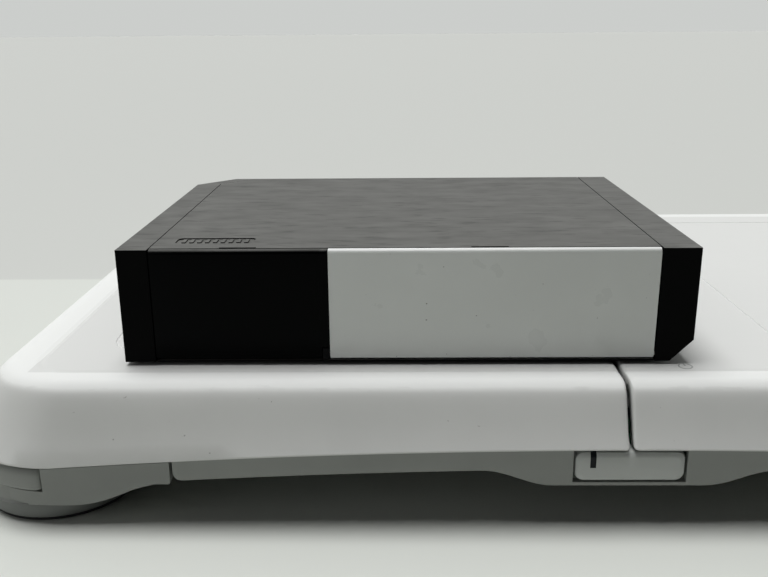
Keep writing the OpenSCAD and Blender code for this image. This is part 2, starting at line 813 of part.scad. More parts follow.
module usb_sockets() {
    on_board() color(steel) difference() {
        span([0.8, 8, chip_z], [18, 22, 25.8]);
        for (z = [10.9, 18.9]) difference() {
            span([-1, 8.8, z], [14, 21.2, z + 5.2]);
            span([2, 9.4, z + 2.6], [15, 20.6, z + 4.4]);
        }
    }
}

module sensor_bar_socket() {
    on_board() color([0.65, 0.12, 0.12]) difference() {
        span([0.8, 26, chip_z], [14, 34, 18]);
        difference() {
            span([-1, 27.2, 11], [10, 32.8, 16.6]);
            span([2, 28.8, 12.6], [11, 31.2, 15]);
        }
    }
}

// ---------------------------------------------------------------- small parts

module clock_battery() {
    on_board() color(steel) translate([122, 142.5, 3.2]) cylinder(r = 10, h = 3.2);
}

module clock_battery_tray() {
    on_board() color(black_shell) difference() {
        union() {
            span([tray_x[0] + 0.6, console_d - tray_l, 2.3], [tray_x[1] - 0.6, console_d - 2, 6.6]);
            span([tray_x[0], console_d - 2.2, 2.2], [tray_x[1], console_d - 0.1, 8.2]);
        }
        translate([122, 142.5, 3.2]) cylinder(r = 10.2, h = 10);
    }
}

module console_feet() {
    on_board() color(rubber) for (p = [[26, 16], [192, 16], [192, 141], [48, 141]])
        translate([p[0], p[1], -console_foot_h]) cylinder(r = 5.5, h = console_foot_h);
}

module case_screws() {
    on_board() color(steel) for (p = case_screw_at) translate([p[0], p[1], 0]) {
        translate([0, 0, 1.2]) cylinder(r = 2.6, h = 1.8);
        translate([0, 0, 2.9]) cylinder(r = 1.2, h = 19);
    }
}

// ---------------------------------------------------------------- drawing

board_base();
board_cover(-1);  // board_cover_left
board_cover(1);  // board_cover_right
deck_plate();
frame_rails();
load_cells();
foot_housing(-1, -1);  // foot_housing_front_left
foot_housing(1, -1);  // foot_housing_front_right
foot_housing(-1, 1);  // foot_housing_back_left
foot_housing(1, 1);  // foot_housing_back_right
foot_discs();
foot_pads();
end_bumper(-1);  // end_bumper_left
end_bumper(1);  // end_bumper_right
battery_tub();
battery_cells();
battery_door();
board_circuit();
board_power_button();
board_power_light();
board_sync_button();
board_screws();
case_upper_shell();
case_lower_shell();
rear_cap();
front_bezel();
slot_light_guide();
port_panel();
controller_port_cover();
memory_slot_cover();
controller_sockets();
memory_card_housing();
mainboard();
processor_chips();
heat_sink();
fan_housing();
fan_rotor();
drive_tray();
drive_lid();
disc_spindle();
laser_sled();
sled_rails();
sled_screw();
feed_roller();
drive_dampers();
console_power_button();
reset_button();
eject_button();
card_door();
console_sync_button();
front_circuit();
card_reader();
power_inlet();
video_socket();
usb_sockets();
sensor_bar_socket();
clock_battery();
clock_battery_tray();
console_feet();
case_screws();
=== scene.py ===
import math

import bmesh
import bpy
from mathutils import Matrix, Vector
from mathutils.geometry import tessellate_polygon


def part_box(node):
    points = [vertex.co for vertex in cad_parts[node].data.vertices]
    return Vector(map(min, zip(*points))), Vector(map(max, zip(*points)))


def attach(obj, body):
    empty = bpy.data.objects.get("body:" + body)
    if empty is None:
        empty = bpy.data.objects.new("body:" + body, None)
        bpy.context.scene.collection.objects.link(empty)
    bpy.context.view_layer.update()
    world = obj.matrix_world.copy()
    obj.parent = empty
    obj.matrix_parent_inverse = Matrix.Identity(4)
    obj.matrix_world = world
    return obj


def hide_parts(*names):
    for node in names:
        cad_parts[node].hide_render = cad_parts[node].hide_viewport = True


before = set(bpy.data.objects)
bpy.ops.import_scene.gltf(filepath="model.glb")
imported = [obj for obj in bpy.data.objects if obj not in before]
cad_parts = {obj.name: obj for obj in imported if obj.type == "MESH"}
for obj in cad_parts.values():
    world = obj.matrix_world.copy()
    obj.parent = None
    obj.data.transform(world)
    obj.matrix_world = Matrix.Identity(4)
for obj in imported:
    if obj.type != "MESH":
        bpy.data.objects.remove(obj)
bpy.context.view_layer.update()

# ---------------------------------------------------------------- camera
# Stands in front of the board, a little left of its middle, and looks down at it
# by about seventeen degrees through a lens of nearly normal width.

FOCAL_LENGTH = 40.5
CAMERA_PLACE = Vector((-0.0836, -0.4370, 0.1760))
LOOK_DOWN, LOOK_LEFT, ROLL = (math.radians(a) for a in (16.737, 0.904, -0.485))

ahead = Vector((-math.sin(LOOK_LEFT), math.cos(LOOK_LEFT), 0))
right = Vector((math.cos(LOOK_LEFT), math.sin(LOOK_LEFT), 0))
sight = math.cos(LOOK_DOWN) * ahead - math.sin(LOOK_DOWN) * Vector((0, 0, 1))
upright = math.sin(LOOK_DOWN) * ahead + math.cos(LOOK_DOWN) * Vector((0, 0, 1))
camera_x = math.cos(ROLL) * right + math.sin(ROLL) * upright
camera_y = math.cos(ROLL) * upright - math.sin(ROLL) * right
camera = bpy.data.objects.new("camera", bpy.data.cameras.new("camera"))
camera.data.lens = FOCAL_LENGTH
camera.data.sensor_width = 36
camera.data.clip_start = 0.01
camera.matrix_world = Matrix.Translation(CAMERA_PLACE) @ Matrix(
    (camera_x, camera_y, -sight)).transposed().to_4x4()
bpy.context.scene.collection.objects.link(camera)
bpy.context.scene.camera = camera


# ---------------------------------------------------------------- floor and light
# A pale table under one wide soft light that hangs above the board, with a weak lamp at
# the left. Its far part, behind the board, is painted a shade darker as the wall there is,
# and the room is bright behind the board and dim in front of it.

DIM_ROOM, BRIGHT_ROOM = (0.012, 0.012, 0.012, 1), (0.60, 0.615, 0.60, 1)
TABLE_PALE, TABLE_WHITE = (0.66, 0.68, 0.64, 1), (0.71, 0.73, 0.69, 1)
WALL_PAINT = (0.60, 0.61, 0.585, 1)
WALL_LINE = 0.175


class Shade:
    """One socket of a node tree. Sums on it add Math nodes, and add() makes any other node."""

    def __init__(self, tree, socket=None):
        self.tree = tree
        self.socket = socket

    def add(self, kind, settings=(), sockets=(), output=0):
        node = self.tree.nodes.new("ShaderNode" + kind)
        for name, value in dict(settings).items():
            setattr(node, name, value)
        for name, value in dict(sockets).items():
            if isinstance(value, Shade):
                self.tree.links.new(value.socket, node.inputs[name])
            else:
                node.inputs[name].default_value = value
        return Shade(self.tree, node.outputs[output])

    def sum_of(self, operation, *values):
        return self.add("Math", {"operation": operation}, enumerate(values))

    def __add__(self, other):
        return self.sum_of("ADD", self, other)

    def __sub__(self, other):
        return self.sum_of("SUBTRACT", self, other)

    def __rsub__(self, other):
        return self.sum_of("SUBTRACT", other, self)

    def __mul__(self, other):
        return self.sum_of("MULTIPLY", self, other)

    __radd__ = __add__
    __rmul__ = __mul__

    def rise(self, low, high):
        """0 below low, 1 above high, and a smooth rise between."""
        return self.add("MapRange", {"interpolation_type": "SMOOTHSTEP"},
                        {"Value": self, "From Min": low, "From Max": high})

    def tint(self, none, full):
        """The colour none where this is 0 and the colour full where it is 1."""
        return self.add("Mix", {"data_type": "RGBA"}, {0: self, 6: none, 7: full}, output=2)

    def noise(self, lump, detail=2, stretch=None):
        """Cloudy noise on a point, with lumps that many metres across."""
        where = self.stretched(stretch) if stretch else self
        return self.add("TexNoise", {}, {"Vector": where, "Scale": 1 / lump, "Detail": detail})

    def stretched(self, by):
        return self.add("Mapping", {}, {"Vector": self, "Scale": by})

    def part(self, letter):
        return self.add("SeparateXYZ", {}, {0: self}, output="XYZ".index(letter))


def bare(name):
    """A new material, and a point on its surface to hang patterns on."""
    made = bpy.data.materials.new(name)
    made.use_nodes = True
    return made, Shade(made.node_tree).add("TexCoord", output="Object")


def wire(made, values):
    """Feeds a material's shader: patterns are linked to its sockets, and numbers are set."""
    shader = made.node_tree.nodes["Principled BSDF"]
    for name, value in values.items():
        if isinstance(value, Shade):
            made.node_tree.links.new(value.socket, shader.inputs[name])
        else:
            shader.inputs[name].default_value = value
    return made


world = bpy.data.worlds.new("room")
world.use_nodes = True
bpy.context.scene.world = world
direction = Shade(world.node_tree).add("TexCoord", output="Generated")
behind = direction.part("Y").rise(-0.05, 0.35)
world.node_tree.links.new(behind.tint(DIM_ROOM, BRIGHT_ROOM).socket,
                          world.node_tree.nodes["Background"].inputs["Color"])

bpy.ops.mesh.primitive_plane_add(size=60)
floor = bpy.context.object
floor.name = "table"
table_paint, table_place = bare("table paint")
table_top = table_place.noise(0.25).tint(TABLE_PALE, TABLE_WHITE)
far_part = table_place.part("Y").rise(WALL_LINE - 0.003, WALL_LINE + 0.003)
wire(table_paint, {"Base Color": far_part.tint(table_top, WALL_PAINT), "Roughness": 0.55})
floor.data.materials.append(table_paint)

for lamp_name, kind, place, spread, power in (
        ("ceiling", "SUN", (-0.12, 0.08, 1.0), math.radians(34), 2.4),
        ("left lamp", "AREA", (-0.62, -0.42, 0.25), 0.4, 0.3)):
    lamp = bpy.data.objects.new(lamp_name, bpy.data.lights.new(lamp_name, kind))
    setattr(lamp.data, "angle" if kind == "SUN" else "size", spread)
    lamp.data.energy = power
    lamp.location = place
    lamp.rotation_euler = Vector(place).to_track_quat("Z", "Y").to_euler()
    bpy.context.scene.collection.objects.link(lamp)
bpy.context.scene.view_settings.view_transform = "Standard"

# ---------------------------------------------------------------- board's top covers
# Two moulded white plastic covers with a seam between them, whose edge rolls over into a
# deep return wall. Each has a leaning skirt, a soft shoulder, a fine line round the standing
# face and a grooved zone for one foot.

COVER_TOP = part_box("board_cover_right")[1].z * 1000
HALF_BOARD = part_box("board_cover_right")[1].x * 1000
HALF_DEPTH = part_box("board_cover_right")[1].y * 1000
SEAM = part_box("board_cover_right")[0].x * 1000
SEAM_ROUND = 1.5
SEAM_LAND = 3
RETURN_WALL = 3.5
COVER_WALL = 2.4
COVER_CORNER = 45
SHOULDER = 48
ZONE_X, ZONE_HALF_X, ZONE_HALF_Y, ZONE_CORNER = 135.5, 65, 118, 20
GROOVE_DEPTH = 0.35


def plastic(name, colour, roughness, grain=0.0004, depth=0.05, blotch=0.05, grime=0.0,
            specks=0.0, level=0.5, painted_top_light_and_dust=0.0, top_light_and_dust_colour=(0.42, 0.42, 0.40), panel=None):
    """Moulded plastic: spark-eroded grain, faint blotches, greasy patches, specks, a painted
    top light that lightens whatever faces up (with some dusty haze on dark plastics), and a
    duller panel within a half length and half width."""
    made, place = bare(name)
    dark = [c * (1 - blotch) for c in colour] + [1]
    pale = [min(1, c * (1 + blotch)) for c in colour] + [1]
    patches = place.noise(0.035, 4)
    paint = patches.rise(0.3, 0.7).tint(dark, pale)
    rough = roughness + 0.16 * (place.noise(0.012, 5) - 0.5)
    if grime:
        rubbed = place.noise(0.02, 6).rise(0.52, 0.75) * grime
        paint = rubbed.tint(paint, [c * 0.72 for c in colour] + [1])
        rough = rough + 0.15 * rubbed
    if specks:
        spots = (1 - place.noise(0.0016, 1).rise(0.18, 0.22)) * specks
        paint = spots.tint(paint, [0.12, 0.11, 0.10, 1])
    # Faces that point up are painted lighter towards the top colour: painted light from above,
    # and on dark plastics partly a dusty haze and a painted sheen; streaks break it up.
    if painted_top_light_and_dust:
        up = place.add("NewGeometry", output="Normal").part("Z").rise(0.5, 0.95)
        scuffs = place.noise(0.012, 8, stretch=(1, 5, 1)).rise(0.55, 0.68)
        lit_top_and_dust = up * (place.noise(0.02, 6, stretch=(1, 2.5, 1)) * 0.6 + 0.4) * painted_top_light_and_dust
        lit_top_and_dust = lit_top_and_dust * (1 - 0.3 * scuffs)
        paint = lit_top_and_dust.tint(paint, [*top_light_and_dust_colour, 1])
        rough = rough + 0.25 * lit_top_and_dust
    if panel:
        inside = place.part("Z").rise((COVER_TOP - 0.7) / 1000, (COVER_TOP - 0.3) / 1000)
        for letter, half in zip("XY", panel):
            spread = place.sum_of("ABSOLUTE", place.part(letter))
            inside = inside * (1 - spread.rise(half - 0.0002, half + 0.0002))
        paint = (inside * 0.75).tint(paint, [0.69, 0.695, 0.68, 1])
        rough = rough + 0.15 * inside
    bumps = place.add("Bump", {}, {"Strength": 0.35, "Distance": depth / 1000,
                                   "Height": place.noise(grain, 3)})
    return wire(made, {"Base Color": paint, "Roughness": rough, "Normal": bumps,
                       "Specular IOR Level": level})


def piece(name, shells, body, material, replaced=(), edge=30):
    """One object from shells of points, in millimetres, and faces; edges sharper than edge
    degrees stay crisp."""
    mesh = bpy.data.meshes.new(name)
    points, faces = [], []
    for shell_points, shell_faces in shells:
        faces += [[i + len(points) for i in face] for face in shell_faces]
        points += [Vector(p) / 1000 for p in shell_points]
    mesh.from_pydata(points, [], faces)
    clean = bmesh.new()
    clean.from_mesh(mesh)
    bmesh.ops.remove_doubles(clean, verts=clean.verts, dist=1e-6)
    bmesh.ops.recalc_face_normals(clean, faces=clean.faces)
    clean.to_mesh(mesh)
    clean.free()
    mesh.shade_smooth()
    mesh.set_sharp_from_angle(angle=math.radians(edge))
    made = bpy.data.objects.new(name, mesh)
    mesh.materials.append(material)
    bpy.context.scene.collection.objects.link(made)
    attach(made, body)
    if replaced:
        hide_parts(*replaced)
    return made


def round_plan(half_x, half_y, radius, steps=6, centre=(0, 0)):
    """A rectangle with round corners, anticlockwise."""
    loop = []
    for quarter in range(4):
        sx, sy = ((1, 1), (-1, 1), (-1, -1), (1, -1))[quarter]
        for i in range(steps + 1):
            turn = math.radians(90 * (quarter + i / steps))
            loop.append((centre[0] + sx * (half_x - radius) + radius * math.cos(turn),
                         centre[1] + sy * (half_y - radius) + radius * math.sin(turn)))
    return loop


def ease(t):
    """0 below 0, 1 above 1, and a smooth rise between."""
    t = min(max(t, 0), 1)
    return t * t * (3 - 2 * t)


def cover_sole(x):
    """Height of the covers' lower edge: a long arch that is level near the feet."""
    return max(31.2 - x * x / 6222, 24)


COLUMNS = [("seam", s) for s in (0, 0.15, 0.45, 0.9, SEAM_ROUND, SEAM_LAND)]
COLUMNS += [("front", i / 20) for i in range(1, 21)]
COLUMNS += [("corner", i / 14) for i in range(1, 15)]
COLUMNS += [("end", i / 16) for i in range(1, 9)]


def cover_ring(height, inset_end, inset_front, radius):
    """One line round half a cover, from the seam at the front to the seam at the back.
    height is a share of the wall below the shoulder, or a level if it is over 1."""
    half_x, half_y = HALF_BOARD - inset_end, HALF_DEPTH - inset_front
    start, ring = SEAM + SEAM_LAND, []
    for kind, t in COLUMNS:
        if kind == "seam":
            x, y, turn = SEAM + t, half_y, 0
        elif kind == "front":
            x, y, turn = start + (half_x - radius - start) * t, half_y, 0
        elif kind == "corner":
            a, turn = math.radians(90 * t), ease(t)
            x = half_x - radius * (1 - math.sin(a))
            y = half_y - radius * (1 - math.cos(a))
        else:
            x, y, turn = half_x, (half_y - radius) * (1 - 2 * t), 1
        shoulder = SHOULDER - 2 * turn
        if height <= 1:
            z = cover_sole(x) + (shoulder - cover_sole(x)) * height
        else:
            z = COVER_TOP - (COVER_TOP - height) * (1 + 0.35 * turn)
        ring.append((x, -y, z))
    return ring + [(x, -y, z) for x, y, z in reversed(ring[:-1])]


def between(points, outer, inner, centre):
    """Triangles between two closed lines of points that run round the same centre."""
    def turn(i):
        return math.atan2(points[i][1] - centre[1], points[i][0] - centre[0])

    lines = [sorted(line, key=turn) for line in (outer, inner)]
    (a, b), (i, j), faces = lines, (0, 0), []
    while i < len(a) or j < len(b):
        after = [turn(line[(k + 1) % len(line)]) + (k + 1) // len(line) * 2 * math.pi
                 for line, k in ((a, i), (b, j))]
        if j == len(b) or (i < len(a) and after[0] < after[1]):
            faces.append((a[i % len(a)], a[(i + 1) % len(a)], b[j % len(b)]))
            i += 1
        else:
            faces.append((a[i % len(a)], b[(j + 1) % len(b)], b[j % len(b)]))
            j += 1
    return faces


def cover_rings():
    """The leaning wall, the curve over the shoulder and the fine line on the top."""
    lean_end, lean_front = 12, 8
    rings = [cover_ring(0, 0.6, 0.6, COVER_CORNER)]
    rings += [cover_ring(h, lean_end * h - out, lean_front * h - out, COVER_CORNER - 8 * h)
              for h, out in ((0.02, 0.35), (0.05, 0.6), (0.3, 0), (0.6, 0), (0.85, 0))]
    for t in (0, 0.2, 0.4, 0.6, 0.8, 1):
        end, front, level = (first * (1 - t) ** 2 + 2 * middle * t * (1 - t) + last * t * t
                             for first, middle, last in (
                                 (lean_end, 17, 25), (lean_front, 10.5, 15),
                                 (SHOULDER, COVER_TOP, COVER_TOP)))
        rings.append(cover_ring(level, end, front, COVER_CORNER - 8 - 12 * t))
    for inset, dip in ((-0.4, 0), (0, 0), (0.8, 0.18), (1.6, 0.25), (2.4, 0.18), (3.2, 0),
                       (3.8, 0)):
        rings.append(cover_ring(COVER_TOP - dip, 31 + inset, 20 + inset, 18 - inset / 2))
    return rings


def finish_seam(mesh):
    """Rolls the seam's edge over, and turns a return wall in from it."""
    normals = [v.normal.copy() for v in mesh.vertices]

    def inwards(i):
        return Vector((0, normals[i].y, max(normals[i].z, 0))).normalized()

    for vertex in mesh.vertices:
        near = abs(vertex.co.x) * 1000 - SEAM
        if near < SEAM_ROUND - 0.01:
            drop = SEAM_ROUND - math.sqrt(SEAM_ROUND ** 2 - (SEAM_ROUND - max(near, 0)) ** 2)
            vertex.co -= inwards(vertex.index) * drop / 1000
            if vertex.co.z * 1000 < cover_sole(0) + 1.2:
                vertex.co.z += drop / 1500
    seamed = bmesh.new()
    seamed.from_mesh(mesh)
    border = [e for e in seamed.edges if e.is_boundary
              and all(abs(v.co.x) * 1000 < SEAM + 0.01 for v in e.verts)]
    for vertex in bmesh.ops.extrude_edge_only(seamed, edges=border)["geom"]:
        if isinstance(vertex, bmesh.types.BMVert):
            facing = min(mesh.vertices, key=lambda v: (v.co - vertex.co).length_squared)
            vertex.co -= inwards(facing.index) * RETURN_WALL / 1000
    seamed.to_mesh(mesh)
    seamed.free()


def cover(side):
    """One top cover, drawn as the right one and mirrored where side is -1."""
    rings = cover_rings()
    wide = len(rings[0])
    points = [p for ring in rings for p in ring]
    faces = [(r * wide + c, r * wide + c + 1, (r + 1) * wide + c + 1, (r + 1) * wide + c)
             for r in range(len(rings) - 1) for c in range(wide - 1)]
    last = (len(rings) - 1) * wide
    edge = COLUMNS.index(("seam", SEAM_LAND))
    faces += [(last + c, last + c + 1, last + wide - 2 - c, last + wide - 1 - c)
              for c in range(edge)]
    # the foot zone's groove, and the flat face inside and outside it
    loops = [[(x, y, COVER_TOP - dip) for x, y in round_plan(
        ZONE_HALF_X - i, ZONE_HALF_Y - i, ZONE_CORNER - i, centre=(ZONE_X, 0))]
        for i, dip in ((0, 0), (0.4, GROOVE_DEPTH), (0.9, GROOVE_DEPTH), (1.3, 0))]
    inside = [last + c for c in range(edge, wide - edge)]
    first = len(points)
    points += [p for loop in loops for p in loop]
    count = len(loops[0])
    faces += between(points, inside, range(first, first + count), (ZONE_X, 0))
    faces += [(first + r * count + i, first + r * count + (i + 1) % count,
               first + (r + 1) * count + (i + 1) % count, first + (r + 1) * count + i)
              for r in range(3) for i in range(count)]
    faces.append([first + 3 * count + i for i in range(count)])
    mesh_points = [(side * x, y, z) for x, y, z in points]
    name = "right" if side > 0 else "left"
    made = piece(f"top_cover_{name}", [(mesh_points, faces)], "board",
                 white_shell, [f"board_cover_{name}"], edge=28)
    finish_seam(made.data)
    wall = made.modifiers.new("wall", "SOLIDIFY")
    wall.thickness = COVER_WALL / 1000
    wall.offset = -1


# The white covers' own colour is left greyer, and their up-facing faces are painted much
# lighter: painted light from above.
white_shell = plastic("white textured shell", (0.66, 0.665, 0.65), 0.40, grain=0.0005,
                      depth=0.05, blotch=0.015, grime=0.05, specks=0.5, painted_top_light_and_dust=2.4,
                      top_light_and_dust_colour=(0.86, 0.87, 0.855), panel=(0.2229, 0.1364))
cover(-1)
cover(1)

# ---------------------------------------------------------------- board's base shell
# Grey moulded tray that closes the board from below: a flat pan with long ribs, screwed to
# the frame, and a low skirt at the front and back that arches up between the feet.

SKIRT_END = 165.4
SKIRT_FACE = HALF_DEPTH - 1.2
SKIRT_WALL = 3
SKIRT_MIDDLE, SKIRT_BOW = 22.95, 0.000166
KEY_HALF, KEY_SILL, KEY_SOLE, KEY_POCKET = 20.45, 18.2, 16.5, 149


def loft(loops, caps=True):
    """Skins closed loops of equal length one after another, and closes the two ends."""
    count = len(loops[0])
    points = [p for loop in loops for p in loop]
    faces = [(r * count + i, r * count + (i + 1) % count,
              (r + 1) * count + (i + 1) % count, (r + 1) * count + i)
             for r in range(len(loops) - 1) for i in range(count)]
    if caps:
        faces += [list(range(count)), [len(points) - 1 - i for i in range(count)]]
    return points, faces


def plate(loops, low, high):
    """A flat plate between two heights; loops are its outline and then its holes."""
    flat = [[Vector((x, y, 0)) for x, y in loop] for loop in loops]
    count = sum(len(loop) for loop in loops)
    points = [(x, y, z) for z in (low, high) for loop in loops for x, y in loop]
    under = tessellate_polygon(flat)
    faces = [tuple(t) for t in under] + [tuple(count + i for i in t) for t in under]
    first = 0
    for loop in loops:
        for i in range(len(loop)):
            a, b = first + i, first + (i + 1) % len(loop)
            faces.append((a, b, count + b, count + a))
        first += len(loop)
    return points, faces


def circle(x, y, radius, steps=24):
    return [(x + radius * math.cos(2 * math.pi * i / steps),
             y + radius * math.sin(2 * math.pi * i / steps)) for i in range(steps)]


def skirt_sole(x, facing):
    """Height of the skirt's lower edge: a long arch, with a bump in front for the key."""
    bow = SKIRT_MIDDLE - SKIRT_BOW * x * x
    if facing < 0:
        bow -= (bow - KEY_SOLE) * ease((53 - abs(x)) / 25)
    end = SKIRT_END - abs(x)
    return bow + (3 - math.sqrt(9 - (3 - end) ** 2) if end < 3 else 0)


def skirt(facing):
    stops = [SKIRT_END, SKIRT_END - 0.3, SKIRT_END - 1, SKIRT_END - 2, SKIRT_END - 3.2]
    run = SKIRT_END - 3.2 - KEY_HALF - 0.25
    stops += [SKIRT_END - 3.2 - run * i / 46 for i in range(1, 47)]
    stops = [(x, False) for x in stops]
    if facing < 0:
        stops += [(KEY_HALF, False), (KEY_HALF, True)]
    stops += [(x, facing < 0) for x in (14, 7)]
    stops += [(0, facing < 0)] + [(-x, low) for x, low in reversed(stops)]
    loops = []
    for x, sill in stops:
        low, high = skirt_sole(x, facing), KEY_SILL if sill else cover_sole(x) - 0.3
        section = [(0, high), (0, low + 1), (0.25, low + 0.3), (1, low),
                   (2, low), (2.75, low + 0.3), (SKIRT_WALL, low + 1), (SKIRT_WALL, high)]
        loops.append([(x, facing * (SKIRT_FACE - y), z) for y, z in section])
    return loft(loops)


door_low, door_high = (1000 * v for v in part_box("battery_door"))
PAN_UNDER, PAN_OVER = door_low.z, door_low.z + 2.5
bay = [(door_low.x - 0.4, door_low.y - 0.4), (door_high.x + 0.4, door_low.y - 0.4),
       (door_high.x + 0.4, door_high.y + 0.4), (door_low.x - 0.4, door_high.y + 0.4)]
pan_end, pan_side = HALF_BOARD - 4, 166.3
pan_waist, pan_front = 66.3, SKIRT_FACE - SKIRT_WALL - 0.05
pan = [(-pan_side, -pan_front), (-KEY_HALF, -pan_front), (-KEY_HALF, -KEY_POCKET),
       (KEY_HALF, -KEY_POCKET), (KEY_HALF, -pan_front), (pan_side, -pan_front),
       (pan_side, -pan_waist),
       (pan_end, -pan_waist), (pan_end, pan_waist), (pan_side, pan_waist),
       (pan_side, pan_front), (-pan_side, pan_front), (-pan_side, pan_waist),
       (-pan_end, pan_waist), (-pan_end, -pan_waist), (-pan_side, -pan_waist)]
RAIL_Y = 124.8
screw_places = [(x, y) for x in (-150, -60, 60, 150) for y in (-RAIL_Y, RAIL_Y)]
shells = [skirt(-1), skirt(1), plate(
    [pan, bay] + [circle(x, y, 1.8, 16) for x, y in screw_places], PAN_UNDER, PAN_OVER)]
rib_root, rib_edge = PAN_UNDER + 0.1, PAN_UNDER - 1.5
for y in (-92, -40, 92, 132):
    shells.append(loft([[(x, y - w, rib_root), (x, y + w, rib_root),
                         (x, y + 0.7 * w, rib_edge), (x, y - 0.7 * w, rib_edge)]
                        for x, w in ((-160, 0.5), (-158, 1), (158, 1), (160, 0.5))]))
grey_shell = plastic("grey textured shell", (0.25, 0.26, 0.245), 0.5, grain=0.0005,
                     depth=0.06, blotch=0.04, grime=0.12, specks=0.3)
piece("base_shell", shells, "board", grey_shell, ["board_base"], edge=40)

# ---------------------------------------------------------------- foot housings
# Four grey mouldings at the corners. Each sweeps down from the skirt to a round rim that
# surrounds the foot, and is cut back at the end to take the bumper.

DISC_RADIUS = 29
FOOT_X, FOOT_Y = (v * 1000 - DISC_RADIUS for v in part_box("foot_discs")[1].xy)
HOUSING_X, HOUSING_Y = 166.6, 66.6
FOOT_HOLE = DISC_RADIUS + 1
RIM, RIM_FLAT, RIM_CENTRE = 8.1, 36, (215.5, 120.3)
SWEEP_RISE, SWEEP_LONG = 8.9, 20
BUMPER_STEP = 214


def in_corner(x, y, inset):
    """Is a place inside the board's outline drawn in by inset, and on the housing's side?"""
    radius = COVER_CORNER - inset / 2
    half_x, half_y = HALF_BOARD - inset, HALF_DEPTH - inset
    if x < HOUSING_X or y < HOUSING_Y or x > half_x or y > half_y:
        return False
    beyond = Vector((x - half_x + radius, y - half_y + radius))
    return beyond.x < 0 or beyond.y < 0 or beyond.length < radius


def reach(turn, inset):
    """How far the housing goes out from the middle of the foot, in one direction."""
    near, far = 0, 150
    for _ in range(24):
        mid = (near + far) / 2
        if in_corner(FOOT_X + mid * math.cos(turn), FOOT_Y + mid * math.sin(turn), inset):
            near = mid
        else:
            far = mid
    return near


def housing(sx, sy):
    corners = [math.atan2(y - FOOT_Y, x - FOOT_X) for x, y in (
        (HOUSING_X, HOUSING_Y), (HOUSING_X, HALF_DEPTH - 1.2), (HALF_BOARD - 1.2, HOUSING_Y),
        (BUMPER_STEP, HALF_DEPTH - 1.2), (HALF_BOARD - 1.2, FOOT_Y - 45))]
    turns = sorted({round(math.radians(i * 5), 4) for i in range(-36, 36)}
                   | {round(c + d, 4) for c in corners for d in (-0.012, 0, 0.012)})
    walls = [reach(t, 1.2) for t in turns]
    backs = [reach(t, 3.4) if FOOT_X + w * math.cos(t) > BUMPER_STEP + 0.1 else w
             for t, w in zip(turns, walls)]

    def under(turn, out):
        """Height of the underside, that far from the middle of the foot."""
        x, y = FOOT_X + out * math.cos(turn), FOOT_Y + out * math.sin(turn)
        beyond = math.hypot(x - RIM_CENTRE[0], y - RIM_CENTRE[1])
        return RIM + SWEEP_RISE * ease((beyond - RIM_FLAT) / SWEEP_LONG)

    lip = FOOT_HOLE + 0.4
    rings = [[(FOOT_HOLE, z)] * len(turns) for z in (20, 9.3)]
    rings += [[(FOOT_HOLE + 0.1, 8.6)] * len(turns)]
    for share in (0, 0.08, 0.16, 0.25, 0.35, 0.45, 0.55, 0.65, 0.75, 0.87, 1):
        outs = [lip + max(w - 1.4 - lip, 0.3) * share for w in walls]
        rings.append([(out, under(t, out)) for t, out in zip(turns, outs)])
    rings += [[(w - a, under(t, w - 1.4) + b) for t, w in zip(turns, walls)]
              for a, b in ((0.4, 0.4), (0, 1.4))]
    rings += [[(w, max(14.2, under(t, w) + 1.6)) for t, w in zip(turns, walls)]]
    rings += [[(b, max(14.4, under(t, w) + 1.8)) for t, b, w in zip(turns, backs, walls)]]
    rings += [[(b, cover_sole(FOOT_X + b * math.cos(t)) - 0.5)
               for b, t in zip(backs, turns)]]
    rings += [[(FOOT_HOLE, 23.4)] * len(turns)]
    loops = [[(sx * (FOOT_X + r * math.cos(t)), sy * (FOOT_Y + r * math.sin(t)), z)
              for t, (r, z) in zip(turns, ring)] for ring in rings + rings[:1]]
    return loft(loops, caps=False)


for sy, depth_name in ((-1, "front"), (1, "back")):
    for sx, side_name in ((-1, "left"), (1, "right")):
        node = f"foot_housing_{depth_name}_{side_name}"
        piece(f"{node}_shell", [housing(sx, sy)], "board", grey_shell, [node],
              edge=40)

# ---------------------------------------------------------------- end bumpers
# A grey band clipped round each end of the board, a little proud of the housings, with
# rolled edges and rounded ends.

BAND = ((1.4, 14.6), (0.5, 14.85), (0.1, 15.4), (0, 16.2), (0, 20.6), (0.2, 21.9),
        (0.8, 22.9), (1.7, 23.5), (2.6, 23.6), (2.6, 14.6))


def bumper(side):
    half_x, half_y, radius = HALF_BOARD - 0.3, HALF_DEPTH - 0.3, COVER_CORNER
    first = math.asin((BUMPER_STEP + 0.4 - half_x + radius) / radius)
    path = []
    for i in range(25):
        turn = first + (math.pi / 2 - first) * ease(i / 24) ** 1.2
        path.append((half_x - radius, half_y - radius, turn))
    path += [(half_x - radius, y, math.pi / 2) for y in (84, 56, 28)]
    loops = []
    for i, (x, y, turn) in enumerate(path):
        shrink = (1.6, 0.9, 0.45, 0.15)[i] if i < 4 else 0
        loops.append([(x + (radius - d - shrink * (d < 1)) * math.sin(turn),
                       -y - (radius - d - shrink * (d < 1)) * math.cos(turn),
                       z + shrink * (19 - z) / 4.6) for d, z in BAND])
    loops += [[(x, -y, z) for x, y, z in loop] for loop in reversed(loops)]
    return loft([[(side * x, y, z) for x, y, z in loop] for loop in loops])


for side, side_name in ((-1, "left"), (1, "right")):
    piece(f"bumper_band_{side_name}", [bumper(side)], "board", grey_shell,
          [f"end_bumper_{side_name}"], edge=40)

# ---------------------------------------------------------------- feet
# Each foot is a turned plastic disc on a short post under its sensor bar, with a thin
# rubber pad let into it. Rings in the pad keep it from sliding.


